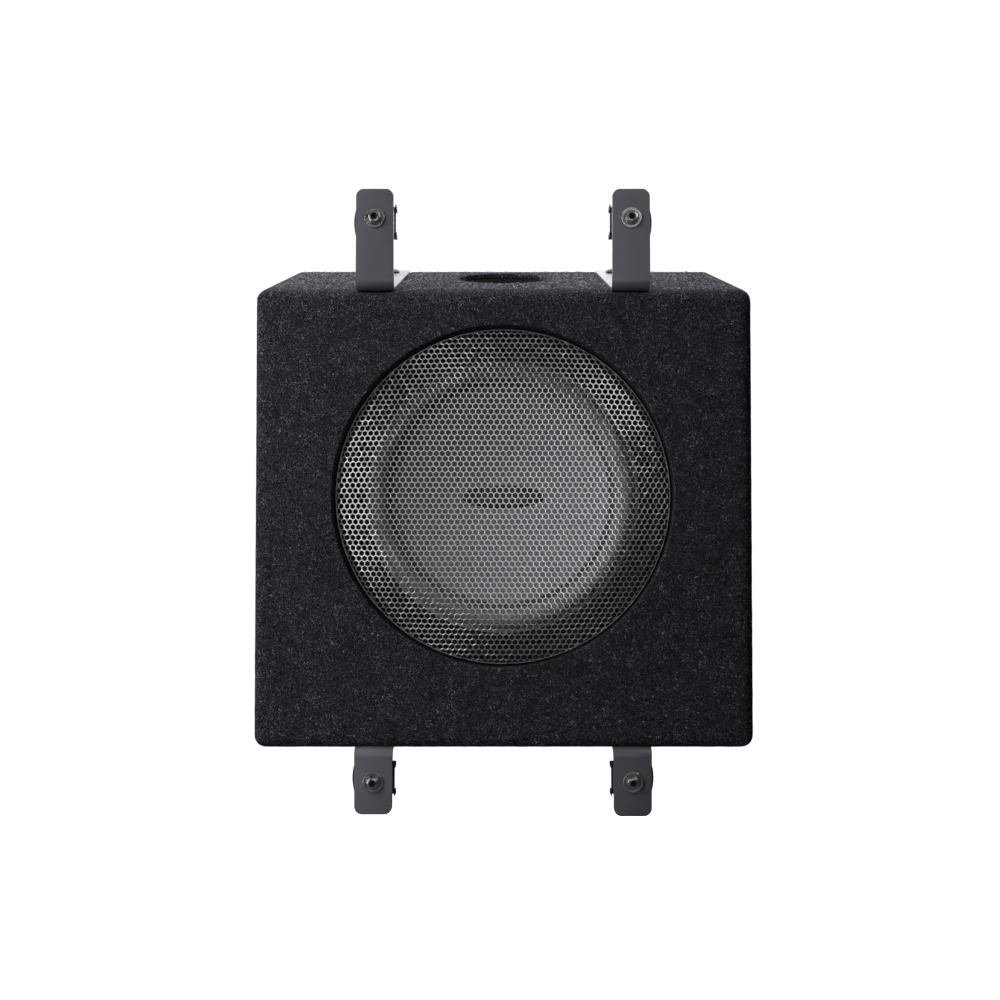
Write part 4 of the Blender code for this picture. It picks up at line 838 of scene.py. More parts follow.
def fibre(shape, root, outward, heading, length, rise, radius):
    """One loose fibre: a tapering three-sided hair that arches up and lies down again."""
    side = outward.cross(heading)
    bend = side * random.uniform(-0.35, 0.35)
    rings = []
    for along, height, thin in ((0.0, -0.15, 1.0), (0.45, 1.0, 0.85)):
        middle = root + (heading + bend * along) * (length * along) + outward * (rise * height)
        around = [side * cos(angle) + outward * sin(angle) for angle in angles(3)]
        rings.append(corners_at(shape, [middle + one * (radius * thin) for one in around]))
    tip = root + (heading + bend) * length + outward * (rise * random.uniform(0.2, 1.3))
    rings.append(corners_at(shape, [tip]))
    bridged(shape, rings)
    shape.faces.new(rings[0][::-1])


def under_strap(x, y, margin):
    return abs(abs(x) - STRAP_X) < STRAP_WIDTH / 2 + margin and y < STRAP_REACH_Y + margin


def fuzz():
    """Loose fibres on the top, on the front and along the box's edges."""
    random.seed(FUZZ_SEED)
    shape = bmesh.new()
    margin = FUZZ_MARGIN
    right = BOX_HALF_WIDTH + 0.5 * FLANK_BULGE
    across = Vector((1.0, 0.0, 0.0))
    for count, on_top, most_rise, most_thickness in FUZZ:
        made = 0
        while made < count:
            x = random.uniform(-BOX_HALF_WIDTH + 2.0 * margin, right - 2.0 * margin)
            if on_top:
                y = random.uniform(FRONT_Y + margin, REAR_Y - 2.0 * margin)
                root = Vector((x, y, top_z(y)))
                up = Vector((0.0, cos(TOP_SLOPE), sin(TOP_SLOPE)))
                blocked = hypot(x, y - PORT_Y) < PORT_RADIUS + margin
                blocked = blocked or under_strap(x, y, FUZZ_CLEARANCE)
            else:
                z = random.uniform(BOTTOM_Z + margin, TOP_FRONT_Z - margin)
                root = Vector((x, FRONT_Y, z))
                up = Vector((0.0, 0.0, 1.0))
                blocked = hypot(x, z) < OPENING_RADIUS + FUZZ_CLEARANCE
            length = random.uniform(0.0018, 0.0042)
            turn = random.uniform(0.0, 2.0 * pi)
            rise = random.uniform(0.0004, most_rise)
            thickness = random.uniform(0.00010, most_thickness)
            if not blocked:
                heading = across * cos(turn) + up * sin(turn)
                fibre(shape, root, across.cross(up), heading, length, rise, thickness)
                made += 1
    return shape


def make_carpet():
    shape = joined(carpet_shape(), painted(fuzz(), 1))
    finishes = ("needle_felt", "felt_fibres")
    piece("felt_carpet", shape, finishes, "carpet_wrap", sharp_degrees=60.0)


def make_port():
    """The tube under the top, its mouth cut to the slope and its rims rounded."""
    outer = PORT_RADIUS + PORT_WALL
    shape = bmesh.new()
    rings = []
    steps = (
        (outer, "low", 0.0004), (outer, "high", 0.0008), (outer - 0.0008, "high", 0.0),
        (PORT_RADIUS + 0.0012, "high", 0.0), (PORT_RADIUS, "high", 0.0014),
        (PORT_RADIUS, "low", 0.0012), (PORT_RADIUS + 0.0010, "low", 0.0),
        (outer - 0.0004, "low", 0.0),
    )
    for radius, end, inset in steps:
        ring = []
        for angle in angles(96):
            y = PORT_Y + radius * sin(angle)
            level = PORT_BOTTOM_Z + inset if end == "low" else top_z(y, SKIN) - inset
            ring.append((radius * cos(angle), y, level))
        rings.append(corners_at(shape, ring))
    skinned(shape, rings, closed=True)
    piece("port_tube_moulding", shape, "port_plastic", "port_tube")


# ---- driver -------------------------------------------------------------------------------
def cone_y(radius):
    return FLANGE_Y + CONE_DEPTH * (1.0 - (radius / CONE_RADIUS) ** 2)


def make_cone():
    steps = 30
    radii = [CONE_RADIUS * index / steps for index in range(steps + 1)]
    front = [(radius, cone_y(radius)) for radius in radii]
    rear_y = FLANGE_Y + CONE_THICKNESS
    corners = [front[-1], (CONE_RADIUS + 0.0012, FLANGE_Y + 0.0003), (CONE_RIM_RADIUS, FLANGE_Y)]
    rim = rounded(corners + [(CONE_RIM_RADIUS, rear_y), (CONE_RADIUS, rear_y)], 0.0004)
    rear = [(radius, cone_y(radius) + CONE_THICKNESS) for radius in reversed(radii)]
    shape = turned(front[:-1] + rim + rear[1:], 128)
    piece("cone_pressing", shape, "cone_composite", "cone", "cone_assembly")

    badge = bmesh.new()
    rings = [corners_at(badge, [(0.0, cone_y(0.0) - 0.0010, 0.0)])]
    steps = ((0.5, 0.0010), (0.86, 0.00095), (0.95, 0.0008), (1.0, 0.0004), (1.0, 0.0003))
    for share, height in steps:
        ring = []
        for angle in angles(64):
            x = share * BADGE_HALF_WIDTH * cos(angle)
            z = share * BADGE_HALF_HEIGHT * sin(angle)
            ring.append((x, cone_y(hypot(x, z)) - height, z))
        rings.append(corners_at(badge, ring))
    badge.faces.new(rings[-1])
    skinned(badge, rings)
    piece("oval_badge", badge, "badge_plastic", "cone_badge", "cone_assembly")


def flexing(obj):
    """Bakes the ring's placement into its mesh."""
    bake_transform(obj)


def make_surround():
    half = SURROUND_THICKNESS / 2
    middle = (ROLL_CENTRE_RADIUS, SURROUND_REAR_Y - half)
    front_y = SURROUND_REAR_Y - SURROUND_THICKNESS
    roll_edge = ROLL_RADIUS + 0.0009
    section = [(SURROUND_INNER_RADIUS, front_y), (ROLL_CENTRE_RADIUS - roll_edge, front_y)]
    section += arc(middle, ROLL_RADIUS + half, 186.0, 354.0, 26)
    section += [(ROLL_CENTRE_RADIUS + roll_edge, front_y), (0.0940, front_y)]
    section += [(0.0942, front_y + half), (0.0942, SURROUND_REAR_Y)]
    section += arc(middle, ROLL_RADIUS - half, 355.0, 185.0, 20)
    section += [(SURROUND_INNER_RADIUS, SURROUND_REAR_Y)]
    shape = turned(section, 128, closed=True)
    for face in shape.faces:
        middle = face.calc_center_median()
        face.material_index = int(hypot(middle.x, middle.z) < GLUED_RADIUS)
    finishes = ("surround_rubber", "surround_glue")
    flexing(piece("surround_roll", shape, finishes, "surround", None))


def make_spider():
    flat_y = LEDGE_Y - GAP - 0.001
    steps = 56
    line = [(0.0258, flat_y)]
    for share in [index / steps for index in range(steps + 1)]:
        line.append((0.031 + 0.023 * share, flat_y - 0.0015 * sin(4.0 * pi * share)))
    line.append((0.066, flat_y))
    shape = turned(thick_line(line, 0.0008), 96, closed=True)
    flexing(piece("spider_cloth_disc", shape, "spider_cloth", "spider", None))


def make_basket():
    line = [
        (0.0280, 0.0601), (0.0490, 0.0601), (0.0560, LEDGE_Y), (0.0680, LEDGE_Y),
        (0.0800, 0.0440), (0.0870, 0.0350), (0.0905, FLANGE_Y + 0.0020),
    ]
    bowl = thick_line(rounded(line, 0.003), 0.0016)
    count = len(bowl) // 2
    rear_y = FLANGE_Y + FLANGE_THICKNESS
    flange = [
        line[-1], (0.0912, FLANGE_Y), (0.0948, FLANGE_Y), (0.0950, FLANGE_Y - 0.0001),
        (FLANGE_RADIUS, FLANGE_Y), (FLANGE_RADIUS, rear_y), (0.0925, rear_y),
    ]
    section = bowl[: count - 1] + rounded(flange, 0.0008, steps=3) + bowl[count + 1 :]
    tools = []
    for index in range(6):
        turn = Matrix.Rotation(radians(60.0 * index), 4, "Y")
        window = cuboid((0.030, 0.008, 0.054))
        tools.append(moved(window, turn @ Matrix.Translation((0.085, 0.0425, 0.0))))
    places = arc((0.0, 0.0), DRIVER_SCREW_CIRCLE, 0.0, 315.0, 7)
    tools += [disc(0.0024, place, 0.0, 0.030, 20) for place in places]
    shape = combined(turned(section, 128, closed=True), tools)
    piece("basket_pressing", shape, "basket_steel", "driver_basket")
    for index, (x, z) in enumerate(places, start=1):
        screw = pan_screw(0.0036, 0.0024, 0.0019, 0.014)
        place = (x, FLANGE_Y - GAP, z)
        node = f"driver_screw_{index}"
        driven(f"cross_screw_{index}", screw, place, FORWARDS, 0.7 * index, node)


# ---- grille -------------------------------------------------------------------------------
HOLE_PITCH = 0.00405
HOLE_WIDTH = 0.0034
SHEET_THICKNESS = 0.0008
HOLE_CHAMFER = 0.00019
PATTERN_RADIUS = MESH_RIM_RADIUS - 0.0001
# How many pitches past the pattern's radius the last cells and the last open ones lie.
LAST_CELL = 0.55
LAST_HOLE = 0.42


def mesh_line():
    """The dished sheet's front as (radius, y) points, from the axis to the rim."""
    line = [(0.0, MESH_FRONT_Y), (0.080, MESH_FRONT_Y), (0.0885, MESH_FRONT_Y + 0.0016)]
    return line[:1] + rounded(line + [(MESH_RIM_RADIUS, MESH_RIM_Y)], 0.030, steps=16)[1:]


def on_line(line, radius):
    """The point of a line of (radius, y) points at a radius, and the line's direction there."""
    for start, end in zip(line, line[1:]):
        if radius <= end[0] or end == line[-1]:
            share = (radius - start[0]) / (end[0] - start[0])
            start = Vector(start)
            step = Vector(end) - start
            return start + step * share, step.normalized()


def dished(table, x, z, depth):
    """A point of the flat pattern, moved onto the dish and so far behind its front."""
    reach = hypot(x, z)
    shrink = min(1.0, PATTERN_RADIUS / max(reach, 0.001))
    spot, direction = table[round(reach * shrink / PATTERN_RADIUS * (len(table) - 1))]
    lean = 1.0 - direction.y * depth / max(reach * shrink, 0.001)
    return (x * shrink * lean, spot.y + direction.x * depth, z * shrink * lean)


def punched_cell(shape, table, x, z, solid):
    """One cell of the honeycomb: a hexagon with a hexagonal hole through it."""
    layers = (
        (HOLE_PITCH, 0.0), (HOLE_WIDTH + 2 * HOLE_CHAMFER, 0.0), (HOLE_WIDTH, 0.6 * HOLE_CHAMFER),
        (HOLE_WIDTH, SHEET_THICKNESS), (HOLE_PITCH, SHEET_THICKNESS),
    )
    rings = []
    for width, depth in layers:
        corners = arc((x, z), width / sqrt(3.0), 30.0, 330.0, 5)
        rings.append(corners_at(shape, [dished(table, *corner, depth) for corner in corners]))
    if solid:
        shape.faces.new(rings[0])
        shape.faces.new(rings[-1][::-1])
    else:
        bridged(shape, rings)


def make_grille():
    """A sheet punched with hexagons in a honeycomb and pressed into a dish."""
    line = mesh_line()
    count = 600
    table = [on_line(line, PATTERN_RADIUS * index / count) for index in range(count + 1)]
    shape = bmesh.new()
    row_pitch = HOLE_PITCH * sqrt(0.75)
    rows = ceil(PATTERN_RADIUS / row_pitch) + 1
    for row in range(-rows, rows + 1):
        for column in range(-rows, rows + 1):
            x = (column + 0.5 * (row % 2)) * HOLE_PITCH
            z = row * row_pitch
            beyond = (hypot(x, z) - PATTERN_RADIUS) / HOLE_PITCH
            if beyond < LAST_CELL:
                punched_cell(shape, table, x, z, solid=beyond > LAST_HOLE)
    bmesh.ops.remove_doubles(shape, verts=shape.verts, dist=0.000004)
    bmesh.ops.dissolve_degenerate(shape, edges=shape.edges, dist=0.000004)
    slivers = [face for face in shape.faces if face.calc_area() < 2e-10]
    bmesh.ops.delete(shape, geom=slivers, context="FACES")
    start, _ = on_line(line, PATTERN_RADIUS - 0.0002)
    rim = [
        (start.x, start.y - 0.00005), (MESH_RIM_RADIUS, MESH_RIM_Y - 0.00005),
        (MESH_RIM_RADIUS - 0.0003, MESH_RIM_Y + MESH_THICKNESS),
        (start.x - 0.0004, start.y + MESH_THICKNESS),
    ]
    shape = joined(shape, ring_part(rim, 0.0005, 192))
    piece("punched_grille", shape, "grille_steel", "grille_mesh", sharp_degrees=25.0)


def make_grille_ring():
    front_y = MESH_RIM_Y + MESH_THICKNESS + GAP
    inner = RING_RADIUS - RING_WALL
    section = [
        (inner, front_y), (RING_RADIUS, front_y), (RING_RADIUS, RING_REAR_Y),
        (RING_FOOT_RADIUS, RING_REAR_Y), (RING_FOOT_RADIUS, RING_REAR_Y - RING_WALL),
        (inner, RING_REAR_Y - RING_WALL),
    ]
    piece("spacer_ring", ring_part(section, 0.0006, 160), "ring_plastic", "grille_ring")


# ---- brackets and clamps ------------------------------------------------------------------
BEND_SWELL = {1: 0.0, -1: 0.0001}
BEND_SPREAD = 0.0060


def strap_line(leg_end, bend, foot_end):
    """Points along the strap's middle, close together at its ends and round its bend."""
    leg_end, bend, foot_end = Vector(leg_end), Vector(bend), Vector(foot_end)
    leg = (leg_end - bend).normalized()
    foot = (foot_end - bend).normalized()
    half_angle = leg.angle(foot) / 2
    radius = STRAP_BEND_RADIUS + STRAP_THICKNESS / 2
    reach = radius / tan(half_angle)
    centre = bend + (leg + foot).normalized() * radius / sin(half_angle)
    first = (bend + leg * reach - centre).normalized()
    last = (bend + foot * reach - centre).normalized()
    near = (0.0, 0.0001, 0.00025, 0.0005, 0.001, 0.0018, 0.0030, 0.0045)
    beside = (0.0060, 0.0030, 0.0015)
    line = [leg_end - leg * step for step in near]
    line += [bend + leg * (reach + step) for step in beside]
    line += [centre + first.slerp(last, index / 12) * radius for index in range(13)]
    line += [bend + foot * (reach + step) for step in reversed(beside)]
    return line + [foot_end - foot * step for step in reversed(near)]


def eased(distance, radius):
    """How much a rounded end takes off at a distance from it."""
    if distance >= radius:
        return 0.0
    return radius - sqrt(radius**2 - (radius - distance) ** 2)


def strap_shape(line, middle_x, most_swell):
    """A strip round its middle line, a little wider where it was bent cold."""
    edge = 0.0005
    shape = bmesh.new()
    rings = []
    for index, point in enumerate(line):
        before = line[max(index - 1, 0)]
        after = line[min(index + 1, len(line) - 1)]
        along = (after - before).normalized()
        across = Vector((-along.y, along.x))
        distance = min((point - line[0]).length, (point - line[-1]).length)
        from_bend = (point - line[len(line) // 2]).length / BEND_SPREAD
        swell = most_swell * max(0.0, 1.0 - from_bend**2)
        half_width = STRAP_WIDTH / 2 + swell - eased(distance, STRAP_CORNER_RADIUS)
        thin = STRAP_THICKNESS / 2 - eased(distance, edge)
        ring = []
        for x, through in oblong((0.0, 0.0), half_width, thin, edge, steps=3):
            ring.append((middle_x + x, *(point + across * through)))
        rings.append(corners_at(shape, ring))
    return skinned(shape, rings, capped=True)


def make_bracket(corner, side, level, paint, trim):
    half = STRAP_THICKNESS / 2
    depth = STRAP_SINK - half
    middle = side * STRAP_X
    if level > 0:
        foot_z = [top_z(y, depth) for y in (-half, STRAP_REACH_Y)]
        leg_end = STRAP_TOP_Z
        outward = Vector((0.0, -sin(TOP_SLOPE), cos(TOP_SLOPE)))
        surface = Vector((middle, STRAP_SCREW_Y, top_z(STRAP_SCREW_Y)))
    else:
        foot_z = [BOTTOM_Z + depth] * 2
        leg_end = STRAP_BOTTOM_Z + trim
        outward = Vector((0.0, 0.0, -1.0))
        surface = Vector((middle, STRAP_SCREW_Y, BOTTOM_Z))
    line = strap_line((-half, leg_end), (-half, foot_z[0]), (STRAP_REACH_Y, foot_z[1]))
    bolt_hole = disc(0.0033, (middle, BOLT_Z[level]), -0.01, 0.01, 32)
    screw_hole = moved(disc(0.0025, (0.0, 0.0), -0.005, 0.004, 24), facing(surface, outward))
    strap = combined(strap_shape(line, middle, BEND_SWELL[level]), [bolt_hole, screw_hole])
    # paint is a lighter or darker copy of one strap paint: painted light and shade for this
    # corner.
    piece(f"strap_{corner}", strap, paint, f"bracket_{corner}")
    screw = pan_screw(0.0062, 0.0028, 0.0020, 0.016)
    seat = surface + outward * (STRAP_THICKNESS - STRAP_SINK + GAP)
    node = f"bracket_screw_{corner}"
    driven(f"foot_screw_{corner}", screw, seat, outward, 0.4 * side, node)


def make_bolt(corner, side, level, flange_steel_painted_reflection):
    """A flanged button-head bolt with a rolled thread."""
    profile = [(0.0, -0.0040)]
    profile += rounded([(0.0027, -0.0040), (0.0043, -0.0034), (0.0049, -0.0014)], 0.0030, steps=8)
    flange = [
        (0.0049, -0.0005), (BUTTON_RADIUS, -0.0004), (0.0053, -0.0009), (0.0066, -0.0009),
        (0.0068, -0.0007), (0.0068, 0.0), (0.0, 0.0),
    ]
    profile += rounded(flange, 0.0003)
    socket = [(0.0, -0.006), (SOCKET_RADIUS, -0.006), (SOCKET_RADIUS, -0.0014), (0.0, -0.0006)]
    mouth = [(0.0, -0.006), (0.0031, -0.0050), (0.0022, -SOCKET_MOUTH), (0.0, -SOCKET_MOUTH)]
    head = combined(turned(profile, 96), [turned(socket, 6), turned(mouth, 64)])
    for face in head.faces:
        middle = face.calc_center_median()
        reach = hypot(middle.x, middle.z)
        # Flange faces take a lighter copy of the steel: a painted reflection.
        if middle.y < -0.0002 and reach > BUTTON_RADIUS:
            face.material_index = 1
        # Deep socket faces take near-black: painted shade in the recess.
        elif middle.y > -SOCKET_MOUTH and reach < SOCKET_RADIUS + 0.00005:
            face.material_index = 2
    seat_y = -STRAP_THICKNESS - GAP
    shank = threaded(BOLT_RADIUS, 0.00045, 0.001, -0.0002, BOLT_END_Y - seat_y, 24, 0.15)
    turn = Matrix.Rotation(0.5 * side + 0.3 * level, 4, "Y")
    place = facing((side * STRAP_X, seat_y, BOLT_Z[level]), FORWARDS)
    bolt = moved(joined(head, shank), place @ turn)
    finishes = ("bolt_steel", flange_steel_painted_reflection, "socket_steel_painted_shade")
    piece(f"flange_bolt_{corner}", bolt, finishes, f"clamp_bolt_{corner}", f"bolt_{corner}")


def make_clamp_plate(corner, side, level):
    radius = (CLAMP_HALF_HEIGHT**2 + CLAMP_OUTER_BULGE**2) / (2 * CLAMP_OUTER_BULGE)
    arch_centre = (radius - CLAMP_OUTER_X - CLAMP_OUTER_BULGE, 0.0)
    span = degrees(asin(CLAMP_HALF_HEIGHT / radius))
    inner_height = CLAMP_HALF_HEIGHT - FINGER_HEIGHT
    fingers = [
        (CLAMP_FINGER_X, CLAMP_HALF_HEIGHT), (CLAMP_FINGER_X, inner_height),
        (CLAMP_INNER_X, inner_height), (CLAMP_INNER_X, -inner_height),
        (CLAMP_FINGER_X, -inner_height), (CLAMP_FINGER_X, -CLAMP_HALF_HEIGHT),
    ]
    outline = arc(arch_centre, radius, 180.0 + span, 180.0 - span, 14) + rounded(fingers, 0.0022)
    middle = (side * STRAP_X, BOLT_Z[level])

    def mirrored(points):
        return [(middle[0] - side * x, middle[1] + z) for x, z in points]

    rear_y = CLAMP_GAP + CLAMP_THICKNESS
    bore = disc(BOLT_RADIUS + GAP, middle, 0.0, 0.03, 32)
    shapes = [combined(prism(mirrored(outline), CLAMP_GAP, rear_y), [bore])]
    half_x = (CLAMP_FINGER_X - CLAMP_INNER_X) / 2
    for end in (-1, 1):
        centre = (CLAMP_INNER_X + half_x, end * (CLAMP_HALF_HEIGHT - FINGER_HEIGHT / 2))
        finger = mirrored(oblong(centre, half_x, FINGER_HEIGHT / 2, 0.0004))
        shapes.append(prism(finger, CLAMP_GAP - FINGER_LENGTH, CLAMP_GAP + 0.001))
    levels = (rear_y - 0.0005, rear_y + NUT_THICKNESS)
    radii = (BOLT_RADIUS + GAP, NUT_RADIUS)
    nut = [(radii[a], levels[b]) for a, b in ((0, 0), (1, 0), (1, 1), (0, 1))]
    whole = joined(*shapes, ring_part(nut, 0.0004, 6, centre=middle))
    node = f"clamp_plate_{corner}"
    piece(f"finger_plate_{corner}", whole, "clamp_steel", node, f"clamp_{corner}")


# ---- amplifier ----------------------------------------------------------------------------
FIN_LENGTH = 0.096
FIN_COUNT = 11
FIN_PITCH = 0.0104
FIRST_FIN_X = -0.094
TICK_COUNT = 11
KNOB_Z = -0.058
KNOBS = {"gain": 0.084, "crossover": 0.056}
KNOB_RADIUS = 0.0075
KNOB_HEIGHT = 0.009
SOCKET_XS = (0.035, 0.053)
SOCKET_Z = -0.086
SWITCH = (0.084, -0.086)
TERMINAL = (0.078, -0.113)
FUSE = (0.036, -0.113)
LED_X = 0.030


def mark(centre, half_x, half_z, turn=0.0):
    """A thin printed line on the amplifier's plate."""
    bar = block((0.0, 0.0), half_x, half_z, 0.0001, -0.00005, 0.00006, finish=1)
    place = Matrix.Translation((centre[0], AMP_PLATE_Y, centre[1]))
    return moved(bar, place @ Matrix.Rotation(turn, 4, "Y"))


def make_amp_panel():
    half_x, half_z = AMP_HALF_WIDTH, AMP_HALF_HEIGHT
    centre = (0.0, AMP_CENTRE_Z)
    plate = block(centre, half_x, half_z, 0.003, AMP_PLATE_FRONT_Y, AMP_PLATE_Y, 0.0004)
    through = (0.12, 0.13)
    windows = ((SWITCH, 0.0044, 0.0021), (TERMINAL, 0.0193, 0.0078), (FUSE, 0.0098, 0.0028))
    tools = [block(*window, 0.0004, *through) for window in windows]
    tools.append(disc(0.0027, (LED_X, KNOB_Z), *through, 32))
    tools += [disc(0.0033, (x, KNOB_Z), *through, 32) for x in KNOBS.values()]
    tools += [disc(0.0050, (x, SOCKET_Z), *through, 40) for x in SOCKET_XS]
    inset = 0.006
    corners = [
        (side * (half_x - inset), AMP_CENTRE_Z + level * (half_z - inset))
        for level in (1, -1) for side in (-1, 1)
    ]
    tools += [disc(0.0021, corner, *through, 24) for corner in corners]
    shapes = [combined(plate, tools)]
    low = AMP_CENTRE_Z - FIN_LENGTH / 2
    for index in range(FIN_COUNT):
        x = FIRST_FIN_X + FIN_PITCH * index
        root, tip = AMP_PLATE_Y - 0.001, AMP_PLATE_Y + 0.008
        fin = [(x - 0.0012, root), (x + 0.0012, root), (x + 0.0009, tip), (x - 0.0009, tip)]
        fin = rounded(fin, 0.0007, closed=True)
        shapes.append(prism(fin, low, low + FIN_LENGTH, 0.0004, upright=True))
    radius = KNOB_RADIUS + 0.0022
    for x in KNOBS.values():
        for index in range(TICK_COUNT):
            turn = radians(-140.0 + 28.0 * index)
            spot = (x - radius * sin(turn), KNOB_Z + radius * cos(turn))
            shapes.append(mark(spot, 0.00015, 0.0006 if index % 5 else 0.0010, turn))
    for x in (SWITCH[0] - 0.0075, SWITCH[0] + 0.0075):
        shapes.append(mark((x, SWITCH[1]), 0.0008, 0.00015))
    piece("finned_panel", joined(*shapes), ("amp_aluminium", "mark_paint"), "amp_panel")
    for index, (x, z) in enumerate(corners, start=1):
        screw = pan_screw(0.0036, 0.0022, 0.0017, 0.013)
        place = (x, AMP_FACE_Y, z)
        node = f"amp_screw_{index}"
        driven(f"panel_screw_{index}", screw, place, REARWARDS, 0.9 * index, node)


def make_knobs():
    foot_y, top_y = AMP_FACE_Y + 0.0005, AMP_FACE_Y + KNOB_HEIGHT

    def fluted(angle, radius, y):
        if y < AMP_FACE_Y + 0.0012 or y > top_y - 0.0008 or radius < 0.006:
            return 1.0
        return 1.0 - 0.045 * (0.5 + 0.5 * cos(20.0 * angle))

    profile = [
        (0.0, AMP_PLATE_FRONT_Y), (0.003, AMP_PLATE_FRONT_Y), (0.003, foot_y),
        (KNOB_RADIUS, foot_y), (KNOB_RADIUS, AMP_FACE_Y + 0.0022),
        (0.95 * KNOB_RADIUS, AMP_FACE_Y + 0.0026), (0.92 * KNOB_RADIUS, top_y - 0.0009),
        (0.83 * KNOB_RADIUS, top_y), (0.55 * KNOB_RADIUS, top_y),
        (0.50 * KNOB_RADIUS, top_y - 0.0003), (0.0, top_y - 0.0003),
    ]
    profile = rounded(profile, 0.0003, steps=3)
    for label, x in KNOBS.items():
        body = turned(profile, 160, centre=(x, KNOB_Z), ripple=fluted)
        place = (x, KNOB_Z + 0.0046)
        pointer = block(place, 0.00035, 0.0021, 0.0002, top_y - 0.0006, top_y, finish=1)
        finishes = ("knob_plastic", "mark_paint")
        node = f"{label}_knob"
        piece(f"fluted_{node}", joined(body, pointer), finishes, node, f"{label}_control")


def make_switch():
    x, z = SWITCH[0] - 0.002, SWITCH[1]
    top_y = AMP_FACE_Y + 0.003
    shapes = [block((x, z), 0.0020, 0.0017, 0.0004, AMP_PLATE_FRONT_Y, top_y, 0.0004)]
    for step in (-1, 0, 1):
        place = (x + 0.0009 * step, z)
        shapes.append(block(place, 0.0002, 0.0013, 0.0001, top_y - 0.0010, top_y - 0.00002))
    piece("ribbed_switch", joined(*shapes), "knob_plastic", "phase_switch", "phase_control")


def make_lamp():
    radius = 0.0024
    dome_y = AMP_FACE_Y + 0.0008
    profile = [(0.0, AMP_PLATE_FRONT_Y), (radius, AMP_PLATE_FRONT_Y)]
    profile += arc((0.0, dome_y), radius, 0.0, 90.0, 8)[:-1] + [(0.0, dome_y + radius)]
    piece("lamp_lens", turned(profile, 40, centre=(LED_X, KNOB_Z)), "led_lens", "power_led")


def make_sockets():
    front_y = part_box("input_sockets")[0].y
    centre = (sum(SOCKET_XS) / 2, SOCKET_Z)
    plate_y, face = AMP_PLATE_FRONT_Y, AMP_FACE_Y
    shapes = [block(centre, 0.019, 0.0065, 0.001, front_y, plate_y - GAP, 0.0004)]
    collar = [
        (0.0022, plate_y - 0.001), (0.0046, plate_y - 0.001), (0.0046, face + 0.0008),
        (0.00415, face + 0.0010), (0.00415, face + 0.0089), (0.0034, face + 0.0089),
        (0.0034, face + 0.0060), (0.0022, face + 0.0060),
    ]
    core = [(0.0017, plate_y), (0.0033, plate_y), (0.0033, face + 0.0084), (0.0017, face + 0.0084)]
    for index, x in enumerate(SOCKET_XS):
        shapes.append(ring_part(collar, 0.0002, 48, 1, (x, SOCKET_Z)))
        shapes.append(ring_part(core, 0.0003, 40, 2 + index, (x, SOCKET_Z)))
    finishes = ("connector_plastic", "nickel", "socket_white", "socket_red")
    piece("signal_sockets", joined(*shapes), finishes, "input_sockets")


def make_terminal():
    low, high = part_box("power_terminal")
    half = (high - low) / 2
    body = block(TERMINAL, half.x, half.z, 0.0008, low.y, high.y, 0.0005)
    tools = []
    shapes = []
    floor_y = high.y - 0.0118
    for step in (-1, 0, 1):
        x, z = TERMINAL[0] + 0.012 * step, TERMINAL[1]
        tools.append(block((x, z), 0.0040, 0.0050, 0.0010, high.y - 0.012, high.y + 0.002))
        contact = (0.0037, 0.0010, 0.0003, floor_y, high.y - 0.0015, 0.0003, 1)
        shapes.append(block((x, z - 0.0035), *contact))
        shapes.append(painted(disc(0.0024, (x, z + 0.0016), floor_y, high.y - 0.0050, 24), 1))
    whole = joined(combined(body, tools), *shapes)
    piece("supply_terminal", whole, ("connector_plastic", "brass"), "power_terminal")


def make_fuse():
    low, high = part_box("fuse")
    half = (high - low) / 2
    crown = block(FUSE, half.x, half.z, 0.0008, high.y - 0.0045, high.y, 0.0004)
    skirt_size = (half.x - 0.0006, half.z - 0.0005)
    skirt = block(FUSE, *skirt_size, 0.0008, low.y + 0.0005, high.y - 0.004, 0.0002)
    sides = [(FUSE[0] + side * 0.0055, FUSE[1]) for side in (-1, 1)]
    windows = [
        block(side, 0.0012, 0.0008, 0.0002, high.y - 0.0012, high.y + 0.001) for side in sides
    ]
    blades = [
        block(side, 0.0024, 0.0004, 0.0002, low.y, low.y + 0.006, 0.0001, 1) for side in sides
    ]
    whole = joined(combined(crown, windows), skirt, *blades)
    piece("blade_fuse", whole, ("fuse_plastic", "nickel"), "fuse")


# ---- build --------------------------------------------------------------------------------
make_carpet()
make_port()
make_cone()
make_surround()
make_spider()
make_basket()
make_grille()
make_grille_ring()
for corner_name, (x_side, z_side, strap_paint_and_light, shorter, flange_reflection_paint) in CORNERS.items():
    make_bracket(corner_name, x_side, z_side, strap_paint_and_light, shorter)
    make_bolt(corner_name, x_side, z_side, flange_reflection_paint)
    make_clamp_plate(corner_name, x_side, z_side)
make_amp_panel()
make_knobs()
make_switch()
make_lamp()
make_sockets()
make_terminal()
make_fuse()

# The finishes of the CAD nodes that stay as they are.
KEPT = {
    "mdf": "top_panel bottom_panel left_panel right_panel rear_panel",
    "mdf_black": "baffle_board driver_mount_board",
    "gasket_foam": "driver_gasket",
    "coil_copper": "voice_coil",
    "zinc_steel": "top_plate back_plate",
    "ferrite": "magnet",
    "tag_board": "driver_terminal",
    "circuit": "circuit_board",
    "lead_rubber": "speaker_lead",
}
for finish_name, kept_nodes in KEPT.items():
    for node_name in kept_nodes.split():
        for material_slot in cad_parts[node_name].material_slots:
            material_slot.material = FINISHES[finish_name]


# ---- studio -------------------------------------------------------------------------------
FLOOR_Z = -0.62
FLOOR_REACH = 6.0
AMBIENT = 0.018
BACKDROP = 1.1
LENS_MM = 34.4
CAMERA_PLACE = (-0.0020, -0.6430, -0.0166)
CAMERA_PITCH = radians(91.23)


